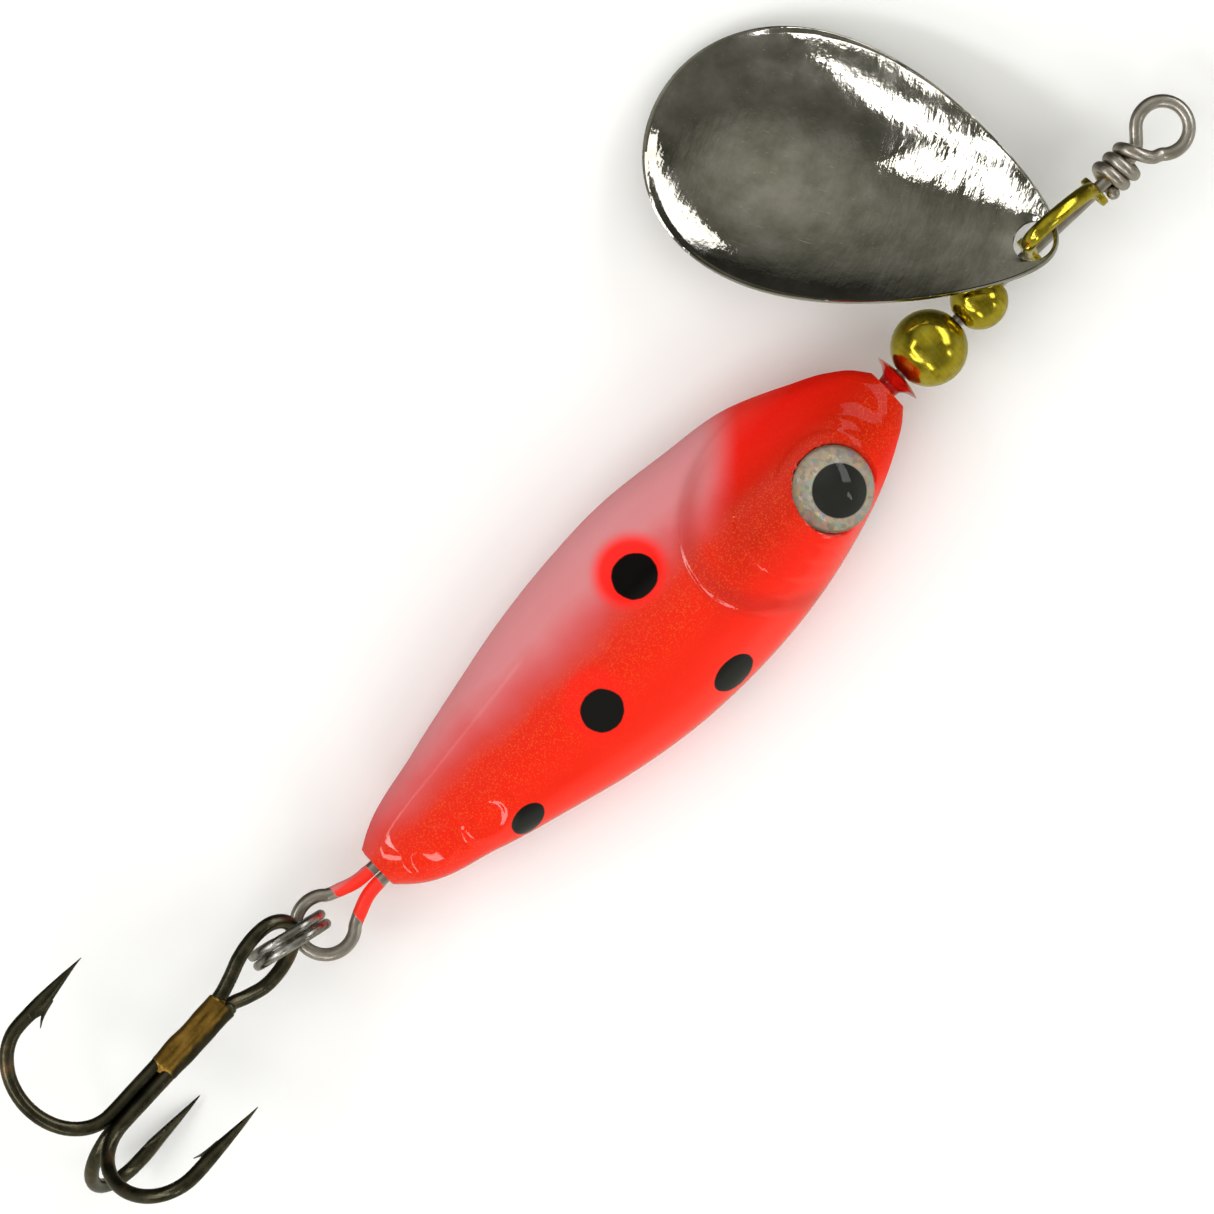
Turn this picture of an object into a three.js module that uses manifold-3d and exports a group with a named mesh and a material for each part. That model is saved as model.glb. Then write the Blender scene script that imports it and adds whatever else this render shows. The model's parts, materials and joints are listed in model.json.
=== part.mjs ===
// Inline spinner: a wire shaft with a line eye, a clevis with its blade, two beads, a cast fish body on
// a flared sleeve, a split ring and a treble hook. Millimetres. +X is the head end, +Y the fish's back,
// +Z up as the lure lies on its flank. While it is built, x = 0 is the centre of the line eye and the
// shaft runs along the X axis; the last lines move the origin to the bottom centre of the whole lure.

import * as THREE from "three";
import { mergeVertices } from "three/addons/utils/BufferGeometryUtils.js";
import Module from "manifold-3d";

// ---- driving dimensions ----

const WIRE_R = 0.35; // shaft wire, 0.7 mm
const BORE_R = 0.47; // running bore round the shaft wire
const GAP = 0.03; // smallest clearance between neighbouring pieces

const EYE_LOOP_R = 1.37; // line eye, to the wire's centre
const EYE_LOOP_X = 0.12;
const WRAP_PITCH = 0.72;
const WRAP_R = 2 * WIRE_R + GAP; // helix radius of the wraps
const WRAP_START_X = -2.24;
const WRAP_TURNS = 2.47;

const CLEVIS_WIRE_R = 0.43;
const CLEVIS_ROLL = THREE.MathUtils.degToRad(8); // lean of the bow towards the back
const EAR_R = 0.87;
const EAR_THICKNESS = 0.4;
const FRONT_EAR_X = -4.68;
const REAR_EAR_X = -9.2;
const BOW_HEIGHT = 3.5;

const BLADE_LENGTH = 22.5;
const BLADE_THICKNESS = 0.45;
const BLADE_DISH = 2.4; // depth of the bowl below the rim
const BLADE_HOLE_R = 1.07;
const BLADE_HOLE_FROM_TIP = 1.3;
const BLADE_HEADING = THREE.MathUtils.degToRad(117.4); // long axis, from +X towards +Y
const BLADE_TILT = THREE.MathUtils.degToRad(13.5); // far end down
const BLADE_ROLL = THREE.MathUtils.degToRad(8); // body side up
const LEG_HEIGHT = 2.05; // of the blade on the clevis leg, above the shaft
const LEG_IN_BLADE = new THREE.Vector2(1.46, 0.31); // from the tip, and across

const SMALL_BEAD_R = 1.5;
const LARGE_BEAD_R = 2.0;
const SMALL_BEAD_X = -12.82;
const LARGE_BEAD_X = -16.35;

const NOSE_X = -19.4;
const TAIL_X = -55.2;
const HALF_THICKNESS = 3.9; // of the body, at its flattened flanks
const SECTION_POWER = 2.3; // superellipse exponent of the body's sections

const SLEEVE_R = 0.585;
const SLEEVE_FIT = 0.07; // clearance of the body's bore round the sleeve
const SLEEVE_END_X = -51.3;
const CUP_RIM_R = 1.45;
const CUP_FACE_X = -18.4;

const SOCKET_MOUTH = { low: -1.02, high: 0.66, halfWidth: 0.46 }; // oval tail socket, y and z
const SOCKET_END_X = -51.6;

const FISH_EYE = { x: -24.95, y: -1.9 };
const FOIL_R = 2.25;
const FOIL_THICKNESS = 0.12;
const DOME_EDGE = 0.1; // straight side of the dome below its crown
const DOME_HEIGHT = 1.03; // of the crown, a cap cut from a sphere
const POCKET_R = 2.35;
const POCKET_DEPTH = 0.3;

const LOOP_R = 1.53; // rear loop, to the wire's centre
const LOOP_CENTRE = new THREE.Vector2(-59.2, -0.28);
const MAIN_LEG_Y = 0.2;
const RETURN_LEG_Y = -0.57;
const RETURN_LEG_END_X = -52.9;

const RING_R = 2.05; // split ring, to the wire's centre
const RING_WIRE_R = 0.26;
const RING_ENDS = [35, 685]; // degrees round the coil, nearly two turns
const RING_CROSSOVER = [328, 392];
const RING_CENTRE = new THREE.Vector3(-61.05, 0.42, 0.7);
const RING_YAW = THREE.MathUtils.degToRad(-11.5);

const HOOK_WIRE_R = 0.38;
const SHANK_OFFSET = 0.46; // of each shank from the treble's axis
const HOOK_REACH = 7.1; // treble's axis to the hook points
const HOOK_BEND_HALF = 2.75; // bend's half length along the shank
const TREBLE_PITCH = THREE.MathUtils.degToRad(11.5); // bend end up
const TREBLE_YAW = THREE.MathUtils.degToRad(3.95);
const TREBLE_START = new THREE.Vector3(-65.4, 0.32, 2.28); // where the shanks part to form the eye
const DOUBLE_HOOK_ANGLES = [11.7, 251.7].map(THREE.MathUtils.degToRad); // from +Y towards +Z
const SINGLE_HOOK_ANGLE = THREE.MathUtils.degToRad(131.7);
const EYE_PLANE_ANGLE = THREE.MathUtils.degToRad(41.7);
const SHANK_LENGTH = 8.3; // from the eye to the start of the bend
const POINT_START = 1.05; // from the end of the bend back towards the eye
const POINT_END = 4.7;
const POINT_TIP_R = 0.06;
const BARB_START = 0.72;
const BARB_END = 3.6;
const BARB_DEPTH = 0.45; // below the wire
const BARB_WIDTH = 0.3;
const BRAZE_LENGTH = 4.9;
const BRAZE_SETBACK = 0.25; // from where the shanks part
const BRAZE_SKIN = 0.12; // outside the shanks

// ---- solids ----

const wasm = await Module();
wasm.setup();

// A closed three.js geometry as a manifold solid, faces outward.
function solid(geometry) {
  const bare = geometry.index ? geometry.toNonIndexed() : geometry.clone();
  bare.deleteAttribute("normal");
  bare.deleteAttribute("uv");
  const merged = mergeVertices(bare, 1e-4);
  const vertProperties = merged.attributes.position.array;
  const triVerts = new Uint32Array(merged.index.array);
  const made = new wasm.Manifold(new wasm.Mesh({ numProp: 3, vertProperties, triVerts }));
  if (made.volume() > 0) return made;
  for (let i = 0; i < triVerts.length; i += 3) {
    [triVerts[i + 1], triVerts[i + 2]] = [triVerts[i + 2], triVerts[i + 1]];
  }
  return new wasm.Manifold(new wasm.Mesh({ numProp: 3, vertProperties, triVerts }));
}

function union(solids) {
  return solids.reduce((joined, next) => joined.add(next));
}

function named(name, body, look) {
  const data = body.getMesh();
  const geometry = new THREE.BufferGeometry();
  geometry.setAttribute("position", new THREE.BufferAttribute(data.vertProperties, 3));
  geometry.setIndex(new THREE.BufferAttribute(data.triVerts, 1));
  geometry.computeVertexNormals();
  const mesh = new THREE.Mesh(geometry, new THREE.MeshStandardMaterial(look));
  mesh.name = name;
  return mesh;
}

// A path whose sweep has one section at each given point, however far apart the points are.
class PathThrough extends THREE.CatmullRomCurve3 {
  getUtoTmapping(u) {
    return u;
  }
}

function sweep(route, radius, sides = 8) {
  const section = new THREE.Shape();
  section.absarc(0, 0, radius, 0, 2 * Math.PI);
  return solid(
    new THREE.ExtrudeGeometry(section, {
      steps: route.length - 1,
      curveSegments: sides / 2,
      extrudePath: new PathThrough(route, false, "centripetal"),
    }),
  );
}

// Points on an arc in the XY plane, angles in degrees.
function arcPoints(centre, radius, from, to, count) {
  return Array.from({ length: count + 1 }, (_, i) => {
    const angle = THREE.MathUtils.degToRad(from + ((to - from) * i) / count);
    return new THREE.Vector3(
      centre.x + radius * Math.cos(angle),
      centre.y + radius * Math.sin(angle),
      0,
    );
  });
}

function vectors(rows) {
  return rows.map((row) => new THREE.Vector3(...row));
}

// A solid of revolution about the X axis: rows of [x, radius] that close on themselves or on the axis.
function turned(rows, segments) {
  const outline = rows.map(([x, r]) => new THREE.Vector2(r, -x));
  const lathe = new THREE.LatheGeometry([...outline, outline[0]], segments);
  return solid(lathe.rotateZ(Math.PI / 2));
}

// A smooth curve through rows of [x, value], for reading a value at any x.
function curveThrough(rows) {
  const sorted = [...rows].sort((a, b) => a[0] - b[0]);
  const curve = new THREE.CubicInterpolant(
    sorted.map((row) => row[0]),
    sorted.map((row) => row[1]),
    1,
  );
  return (x) => curve.evaluate(x)[0];
}

// ---- shaft wire ----

function wrapPoints() {
  const count = Math.round(WRAP_TURNS * 9);
  return Array.from({ length: count + 1 }, (_, i) => {
    const turn = (WRAP_TURNS * i) / count;
    const angle = Math.PI / 2 + 2 * Math.PI * turn;
    return new THREE.Vector3(
      WRAP_START_X - WRAP_PITCH * turn,
      WRAP_R * Math.sin(angle),
      WRAP_R * Math.cos(angle),
    );
  });
}

function shaftWire() {
  const lineEye = arcPoints(new THREE.Vector2(EYE_LOOP_X, 0), EYE_LOOP_R, -135, 135, 14);
  const rearLoop = arcPoints(LOOP_CENTRE, LOOP_R, 45, 315, 14);
  const route = [
    ...wrapPoints().reverse(),
    ...vectors([
      [-2.08, 0.5, 0.54],
      [-1.86, 0.05, 0.72],
      [-1.62, -0.4, 0.58],
      [-1.3, -0.78, 0.28],
    ]),
    ...lineEye,
    ...vectors([
      [-1.15, 0.62, -0.08],
      [-1.5, 0.25, -0.12],
      [-2.0, 0.03, -0.04],
      [-2.6, 0, 0],
      [-8, 0, 0],
      [-30, 0, 0],
      [-52.6, 0, 0],
      [-53.6, 0.08, 0],
      [-54.6, MAIN_LEG_Y - 0.03, 0],
      [-55.8, MAIN_LEG_Y, 0],
      [-56.6, 0.27, 0],
      [-57.4, 0.52, 0],
    ]),
    ...rearLoop,
    ...vectors([
      [-57.4, -1.0, 0],
      [-56.6, -0.68, 0],
      [-55.8, RETURN_LEG_Y, 0],
      [-54.4, RETURN_LEG_Y, 0],
      [RETURN_LEG_END_X, RETURN_LEG_Y - 0.02, 0],
    ]),
  ];
  return sweep(route, WIRE_R);
}

// ---- clevis and blade ----

function clevisEar(x) {
  const back = x - EAR_THICKNESS / 2;
  const front = x + EAR_THICKNESS / 2;
  return turned(
    [
      [back, BORE_R],
      [front, BORE_R],
      [front, EAR_R],
      [back, EAR_R],
    ],
    20,
  );
}

function clevis() {
  const bow = sweep(
    vectors([
      [FRONT_EAR_X, 0, EAR_R - 0.05],
      [FRONT_EAR_X - 0.12, 0, 1.3],
      [FRONT_EAR_X - 0.45, 0, 1.85],
      [FRONT_EAR_X - 1.1, 0, 2.5],
      [FRONT_EAR_X - 2.0, 0, 3.05],
      [FRONT_EAR_X - 2.9, 0, BOW_HEIGHT - 0.08],
      [REAR_EAR_X + 0.85, 0, BOW_HEIGHT],
      [REAR_EAR_X + 0.3, 0, BOW_HEIGHT - 0.3],
      [REAR_EAR_X + 0.03, 0, BOW_HEIGHT - 0.85],
      [REAR_EAR_X, 0, 2.1],
      [REAR_EAR_X, 0, 1.4],
      [REAR_EAR_X, 0, EAR_R - 0.05],
    ]),
    CLEVIS_WIRE_R,
    10,
  );
  return union([bow, clevisEar(FRONT_EAR_X), clevisEar(REAR_EAR_X)]);
}

// Half width of the blade where the angle runs from 0 at the tip to half a turn at the far end.
function bladeHalfWidth(angle) {
  const c = Math.cos(angle);
  return Math.sin(angle) * (6.68 - 2.32 * c - 0.35 * c * c);
}

function bladeSurface(along, across) {
  const share = THREE.MathUtils.clamp(along / BLADE_LENGTH, 0, 1);
  const halfWidth = bladeHalfWidth(Math.acos(1 - 2 * share));
  const widest = bladeHalfWidth(Math.acos(-0.18));
  return (-BLADE_DISH * (halfWidth ** 2 - across ** 2)) / widest ** 2;
}

// A flat washer, 1 mm wide round a 1 mm hole, is stretched from the blade's hole to its outline, and dished.
function blade() {
  const inner = 1;
  const rings = [0, 0.1, 0.28, 0.5, 0.75, 1];
  const half = BLADE_THICKNESS / 2;
  const section = [
    ...rings.map((r) => new THREE.Vector2(inner + r, -half)),
    ...rings.toReversed().map((r) => new THREE.Vector2(inner + r, half)),
    new THREE.Vector2(inner, -half),
  ];
  const washer = new THREE.LatheGeometry(section, 36);
  const position = washer.attributes.position;
  for (let i = 0; i < position.count; i += 1) {
    const x = position.getX(i);
    const z = position.getZ(i);
    const share = Math.hypot(x, z) - inner;
    const angle = Math.atan2(z, -x);
    const hole = {
      along: BLADE_HOLE_FROM_TIP - BLADE_HOLE_R * Math.cos(angle),
      across: BLADE_HOLE_R * Math.sin(angle),
    };
    const edge = {
      along: (BLADE_LENGTH / 2) * (1 - Math.cos(angle)),
      across: Math.sign(Math.sin(angle)) * bladeHalfWidth(Math.abs(angle)),
    };
    const along = THREE.MathUtils.lerp(hole.along, edge.along, share);
    const across = THREE.MathUtils.lerp(hole.across, edge.across, share);
    position.setXYZ(i, along, across, bladeSurface(along, across) + position.getY(i));
  }
  return solid(washer);
}

function placedBlade(mesh) {
  const legHeight = bladeSurface(LEG_IN_BLADE.x, LEG_IN_BLADE.y);
  mesh.geometry.translate(-LEG_IN_BLADE.x, -LEG_IN_BLADE.y, -legHeight);
  mesh.rotation.set(BLADE_ROLL, BLADE_TILT, BLADE_HEADING, "ZYX");
  mesh.position.set(REAR_EAR_X, 0, LEG_HEIGHT).applyAxisAngle(new THREE.Vector3(1, 0, 0), -CLEVIS_ROLL);
  return mesh;
}

// ---- beads and sleeve ----

function bead(x, radius, segments) {
  const end = Math.asin(BORE_R / radius);
  const steps = 12;
  const rows = Array.from({ length: steps + 1 }, (_, i) => {
    const angle = end + ((Math.PI - 2 * end) * i) / steps;
    return [x + radius * Math.cos(angle), radius * Math.sin(angle)];
  });
  return turned(rows, segments);
}

function sleeveCup() {
  return turned(
    [
      [CUP_FACE_X, BORE_R],
      [CUP_FACE_X - 0.05, 0.9],
      [CUP_FACE_X - 0.14, 1.2],
      [CUP_FACE_X - 0.24, CUP_RIM_R],
      [CUP_FACE_X - 0.3, CUP_RIM_R],
      [CUP_FACE_X - 0.34, 1.15],
      [CUP_FACE_X - 0.45, 0.85],
      [CUP_FACE_X - 0.65, SLEEVE_R + 0.05],
      [CUP_FACE_X - 0.9, SLEEVE_R],
      [SLEEVE_END_X, SLEEVE_R],
      [SLEEVE_END_X, BORE_R],
    ],
    16,
  );
}

// ---- fish body ----

const backLine = curveThrough([
  [TAIL_X, 1.25],
  [-54.6, 1.62],
  [-50, 3.05],
  [-46, 4.05],
  [-42, 4.95],
  [-38, 5.52],
  [-34.5, 5.75],
  [-30, 5.4],
  [-26.2, 4.9],
  [-23, 3.62],
  [-21, 2.62],
  [-20, 1.85],
  [NOSE_X, 1.1],
]);
const bellyLine = curveThrough([
  [TAIL_X, -1.2],
  [-54.6, -1.75],
  [-50, -3.55],
  [-46, -4.6],
  [-42, -5.5],
  [-38, -6.0],
  [-35, -6.05],
  [-30, -5.6],
  [-26, -4.65],
  [-23, -3.55],
  [-21, -2.5],
  [-20, -1.85],
  [NOSE_X, -1.3],
]);
const flankLine = curveThrough([
  [TAIL_X, 1.15],
  [-54.6, 1.5],
  [-50, 2.45],
  [-46, 3.15],
  [-42, 3.68],
  [-38, 3.95],
  [-34.5, 4.02],
  [-30, 3.78],
  [-26, 3.2],
  [-23, 2.5],
  [-21, 1.9],
  [-20, 1.5],
  [NOSE_X, 1.15],
]);

// Half thickness of the body at a point of its side outline.
function flankHeight(x, y) {
  const edge = y > 0 ? backLine(x) : -bellyLine(x);
  const share = Math.min(Math.abs(y) / edge, 1);
  const height = flankLine(x) * (1 - share ** SECTION_POWER) ** (1 / SECTION_POWER);
  return Math.min(height, HALF_THICKNESS);
}

// A cylinder with many rings is shaped into the fish, ring by ring, from tail to nose.
function fishSolid() {
  const rings = 26;
  const blank = new THREE.CylinderGeometry(1, 1, 1, 28, rings).rotateZ(-Math.PI / 2);
  const position = blank.attributes.position;
  const power = 2 / SECTION_POWER;
  for (let i = 0; i < position.count; i += 1) {
    const share = position.getX(i) + 0.5;
    const eased = (1 - Math.cos(Math.PI * share)) / 2;
    const x = THREE.MathUtils.lerp(TAIL_X, NOSE_X, 0.5 * (share + eased));
    const reach = Math.hypot(position.getY(i), position.getZ(i));
    const up = reach ? position.getY(i) / reach : 0;
    const side = reach ? position.getZ(i) / reach : 0;
    const outline = up > 0 ? backLine(x) : -bellyLine(x);
    const y = Math.sign(up) * outline * Math.abs(up) ** power;
    const z = Math.sign(side) * flankLine(x) * Math.abs(side) ** power;
    const flat = THREE.MathUtils.clamp(z, -HALF_THICKNESS, HALF_THICKNESS);
    position.setXYZ(i, x, reach * y, reach * flat);
  }
  return solid(blank);
}

function tailSocket() {
  const outline = new THREE.Shape();
  const { low, high, halfWidth } = SOCKET_MOUTH;
  outline.absarc(0, high - halfWidth, halfWidth, 0, Math.PI);
  outline.absarc(0, low + halfWidth, halfWidth, Math.PI, 2 * Math.PI);
  const depth = SOCKET_END_X - TAIL_X + 1;
  const pocket = new THREE.ExtrudeGeometry(outline, { depth, bevelEnabled: false, curveSegments: 6 });
  return solid(pocket.rotateY(Math.PI / 2).translate(TAIL_X - 1, 0, 0));
}

// The frame of one fish eye: its centre on the flank, and the way it looks.
function fishEyeFrame(side) {
  const { x, y } = FISH_EYE;
  const step = 0.8;
  const centre = new THREE.Vector3(x, y, side * flankHeight(x, y));
  const slopeX = (flankHeight(x + step, y) - flankHeight(x - step, y)) / (2 * step);
  const slopeY = (flankHeight(x, y + step) - flankHeight(x, y - step)) / (2 * step);
  const outward = new THREE.Vector3(-slopeX, -slopeY, side).normalize();
  const turn = new THREE.Quaternion().setFromUnitVectors(new THREE.Vector3(0, 0, 1), outward);
  return new THREE.Matrix4().compose(centre, turn, new THREE.Vector3(1, 1, 1));
}

function discAt(side, radius, low, high) {
  const disc = new THREE.CylinderGeometry(radius, radius, high - low, 24);
  disc.rotateX(Math.PI / 2).translate(0, 0, (low + high) / 2);
  return solid(disc.applyMatrix4(fishEyeFrame(side)));
}

function bodyCasting() {
  const boreR = SLEEVE_R + SLEEVE_FIT;
  const bore = new THREE.CylinderGeometry(boreR, boreR, 2 * (NOSE_X - TAIL_X), 16);
  bore.rotateZ(Math.PI / 2).translate((NOSE_X + TAIL_X) / 2, 0, 0);
  return fishSolid()
    .subtract(solid(bore))
    .subtract(tailSocket())
    .subtract(discAt(1, POCKET_R, -POCKET_DEPTH, HALF_THICKNESS))
    .subtract(discAt(-1, POCKET_R, -POCKET_DEPTH, HALF_THICKNESS));
}

function eyeFoil(side) {
  const low = GAP - POCKET_DEPTH;
  return discAt(side, FOIL_R, low, low + FOIL_THICKNESS);
}

function eyeDome(side) {
  const steps = 6;
  const sphereR = (FOIL_R ** 2 + DOME_HEIGHT ** 2) / (2 * DOME_HEIGHT);
  const sphereY = DOME_EDGE + DOME_HEIGHT - sphereR;
  const crown = Array.from({ length: steps }, (_, i) => {
    const angle = Math.asin(FOIL_R / sphereR) * (1 - i / steps);
    return new THREE.Vector2(sphereR * Math.sin(angle), sphereY + sphereR * Math.cos(angle));
  });
  const top = new THREE.Vector2(0, DOME_EDGE + DOME_HEIGHT);
  const dome = new THREE.LatheGeometry([new THREE.Vector2(0, 0), ...crown, top], 20);
  dome.rotateX(Math.PI / 2).translate(0, 0, 2 * GAP - POCKET_DEPTH + FOIL_THICKNESS);
  return solid(dome.applyMatrix4(fishEyeFrame(side)));
}

// ---- split ring ----

// Two flat coils side by side, with one crossover between them.
function splitRing() {
  const [first, last] = RING_ENDS;
  const count = 52;
  const offset = RING_WIRE_R + GAP / 2;
  const route = Array.from({ length: count + 1 }, (_, i) => {
    const degrees = first + ((last - first) * i) / count;
    const angle = THREE.MathUtils.degToRad(degrees - 90);
    const side = THREE.MathUtils.smoothstep(degrees, ...RING_CROSSOVER);
    return new THREE.Vector3(
      RING_R * Math.cos(angle),
      THREE.MathUtils.lerp(offset, -offset, side),
      RING_R * Math.sin(angle),
    );
  });
  return sweep(route, RING_WIRE_R, 8);
}

// ---- treble hook, built along X with the eye towards +X and the shanks starting at x = 0 ----

// A point beside the treble's axis: along it, out from it at an angle, and across that angle.
function beside(along, out, angle, across = 0) {
  return new THREE.Vector3(
    along,
    out * Math.cos(angle) - across * Math.sin(angle),
    out * Math.sin(angle) + across * Math.cos(angle),
  );
}

// From the eye down the shank and round the bend to the start of the point.
function hookRoute(angle) {
  const bendMiddle = (SHANK_OFFSET + HOOK_REACH) / 2;
  const bendReach = (HOOK_REACH - SHANK_OFFSET) / 2;
  const bend = Array.from({ length: 11 }, (_, i) => {
    const turn = (Math.PI * i) / 10;
    return beside(
      -SHANK_LENGTH - HOOK_BEND_HALF * Math.sin(turn),
      bendMiddle - bendReach * Math.cos(turn),
      angle,
    );
  });
  const shank = [-0.2, -3, -6.5].map((along) => beside(along, SHANK_OFFSET, angle));
  return [...shank, ...bend, beside(-SHANK_LENGTH + 1.1, HOOK_REACH, angle)];
}

function hookPoint(angle) {
  const start = beside(POINT_START - SHANK_LENGTH, HOOK_REACH, angle);
  const tip = beside(POINT_END - SHANK_LENGTH, HOOK_REACH + 0.05, angle);
  const length = start.distanceTo(tip);
  const cone = new THREE.CylinderGeometry(POINT_TIP_R, HOOK_WIRE_R, length, 8);
  cone.translate(0, length / 2, 0);
  const turn = new THREE.Quaternion().setFromUnitVectors(
    new THREE.Vector3(0, 1, 0),
    tip.clone().sub(start).normalize(),
  );
  cone.applyMatrix4(new THREE.Matrix4().compose(start, turn, new THREE.Vector3(1, 1, 1)));
  const wedge = new THREE.Shape([
    new THREE.Vector2(BARB_START, HOOK_REACH - HOOK_WIRE_R - BARB_DEPTH),
    new THREE.Vector2(BARB_END, HOOK_REACH - 0.05),
    new THREE.Vector2(BARB_START + 0.43, HOOK_REACH - 0.1),
  ]);
  const barb = new THREE.ExtrudeGeometry(wedge, { depth: BARB_WIDTH, bevelEnabled: false });
  barb.translate(-SHANK_LENGTH, 0, -BARB_WIDTH / 2).rotateX(angle);
  return union([solid(cone), solid(barb)]);
}

// The eye is bent from the wire that carries the double hook, a little lopsided as the real one is.
function doubleHook() {
  const [upper, lower] = DOUBLE_HOOK_ANGLES;
  const plane = EYE_PLANE_ANGLE;
  const inset = -SHANK_OFFSET / 2;
  const eye = [
    [0.9, 0.76],
    [2.0, 1.25],
    [3.2, 1.45],
    [4.2, 1.3],
    [4.85, 0.82],
    [5.1, 0.2],
    [4.9, -0.42],
    [4.3, -0.98],
    [3.3, -1.36],
    [2.1, -1.4],
    [1.0, -0.98],
  ].map(([along, across]) => beside(along, across, plane, inset));
  const route = [...hookRoute(upper).reverse(), ...eye, ...hookRoute(lower)];
  return union([sweep(route, HOOK_WIRE_R), hookPoint(upper), hookPoint(lower)]);
}

function singleHook() {
  return union([sweep(hookRoute(SINGLE_HOOK_ANGLE), HOOK_WIRE_R), hookPoint(SINGLE_HOOK_ANGLE)]);
}

function braze() {
  const outerR = SHANK_OFFSET + HOOK_WIRE_R + BRAZE_SKIN;
  const outer = new THREE.CylinderGeometry(outerR, outerR, BRAZE_LENGTH, 24);
  outer.rotateZ(Math.PI / 2).translate(-BRAZE_LENGTH / 2 - BRAZE_SETBACK, 0, 0);
  const stations = [1, -3, -7];
  const middle = stations.map((along) => new THREE.Vector3(along, 0, 0));
  const channels = [...DOUBLE_HOOK_ANGLES, SINGLE_HOOK_ANGLE].map((angle) => {
    const shank = stations.map((along) => beside(along, SHANK_OFFSET, angle));
    return sweep(shank, HOOK_WIRE_R + 2 * GAP);
  });
  const hollow = sweep(middle, SHANK_OFFSET / 2);
  return [...channels, hollow].reduce((rest, channel) => rest.subtract(channel), solid(outer));
}

// ---- materials ----

const STEEL = { color: 0x77746f, roughness: 0.35, metalness: 1 };
const BRASS = { color: 0xa89a2a, roughness: 0.22, metalness: 1 };
const NICKEL = { color: 0x8c8a86, roughness: 0.1, metalness: 1 };
const RED_PLASTIC = { color: 0xb01008, roughness: 0.25, metalness: 0 };
const RED_PAINT = { color: 0xe02a18, roughness: 0.18, metalness: 0 };
const FOIL = { color: 0xb9b5a8, roughness: 0.25, metalness: 0.8 };
const RESIN = { color: 0x151515, roughness: 0.05, metalness: 0 };
const BRONZE = { color: 0x35342c, roughness: 0.3, metalness: 1 };
const BRAZE = { color: 0x6b5524, roughness: 0.4, metalness: 1 };

// ---- assembly ----

const clevisMesh = named("clevis", clevis(), BRASS);
clevisMesh.rotation.x = -CLEVIS_ROLL;

const ring = named("split_ring", splitRing(), STEEL);
ring.rotation.z = RING_YAW;
ring.position.copy(RING_CENTRE);

const treble = new THREE.Group();
treble.add(named("treble_double_hook", doubleHook(), BRONZE));
treble.add(named("treble_single_hook", singleHook(), BRONZE));
treble.add(named("treble_braze", braze(), BRAZE));
treble.rotation.set(0, TREBLE_PITCH, TREBLE_YAW, "ZYX");
treble.position.copy(TREBLE_START);

const lure = new THREE.Group();
lure.add(named("shaft_wire", shaftWire(), STEEL));
lure.add(clevisMesh);
lure.add(placedBlade(named("blade", blade(), NICKEL)));
lure.add(named("small_bead", bead(SMALL_BEAD_X, SMALL_BEAD_R, 18), BRASS));
lure.add(named("large_bead", bead(LARGE_BEAD_X, LARGE_BEAD_R, 20), BRASS));
lure.add(named("sleeve_cup", sleeveCup(), RED_PLASTIC));
lure.add(named("body_casting", bodyCasting(), RED_PAINT));
for (const [name, side] of [
  ["left", 1],
  ["right", -1],
]) {
  lure.add(named(name + "_eye_foil", eyeFoil(side), FOIL));
  lure.add(named(name + "_eye_dome", eyeDome(side), RESIN));
}
lure.add(ring, treble);

const box = new THREE.Box3().setFromObject(lure, true);
const middle = box.getCenter(new THREE.Vector3());
lure.position.set(-middle.x, -middle.y, -box.min.z);

const part = new THREE.Group();
part.add(lure);

export default part;
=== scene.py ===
"""An inline spinner: wire shaft, clevis, blade, beads, cast fish body, split ring and treble hook.

Shapes are worked out in millimetres in the lure's own frame: x = 0 is the centre of the line eye, the
shaft runs along x, +X is the head end, +Y the fish's back, and z = 0 is the shaft's height. place() turns
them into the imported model's metres.
"""

import json
import math

import bmesh
import bpy
import numpy as np
from mathutils import Matrix, Vector


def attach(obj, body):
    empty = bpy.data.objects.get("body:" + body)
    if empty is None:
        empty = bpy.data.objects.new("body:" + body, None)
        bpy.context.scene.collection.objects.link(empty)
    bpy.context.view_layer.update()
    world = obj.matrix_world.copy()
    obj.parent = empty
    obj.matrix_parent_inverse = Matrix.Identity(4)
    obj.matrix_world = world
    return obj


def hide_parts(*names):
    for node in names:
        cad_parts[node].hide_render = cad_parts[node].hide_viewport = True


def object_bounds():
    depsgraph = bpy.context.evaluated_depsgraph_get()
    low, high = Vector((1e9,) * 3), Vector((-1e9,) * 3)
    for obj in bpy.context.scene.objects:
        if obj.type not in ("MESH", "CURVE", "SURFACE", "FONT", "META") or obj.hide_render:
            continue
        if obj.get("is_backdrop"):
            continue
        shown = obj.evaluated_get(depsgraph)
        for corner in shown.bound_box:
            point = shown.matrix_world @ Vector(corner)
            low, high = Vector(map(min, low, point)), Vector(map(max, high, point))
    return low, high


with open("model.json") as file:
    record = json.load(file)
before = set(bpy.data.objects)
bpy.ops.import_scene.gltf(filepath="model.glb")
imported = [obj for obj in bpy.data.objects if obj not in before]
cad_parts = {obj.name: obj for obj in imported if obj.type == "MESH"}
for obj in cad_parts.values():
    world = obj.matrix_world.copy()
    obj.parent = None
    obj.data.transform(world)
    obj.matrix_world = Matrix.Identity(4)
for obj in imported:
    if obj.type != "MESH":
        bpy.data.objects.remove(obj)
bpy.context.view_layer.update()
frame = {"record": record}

MM = 0.001
GAP = 0.03  # between pieces that nest
LINE_EYE_X = 0.12

line_tie = next(m for m in frame["record"]["mounts"] if m["name"] == "line_tie")
ORIGIN = Vector(line_tie["pos_m"]) - Vector((LINE_EYE_X * MM, 0, 0))

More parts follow.
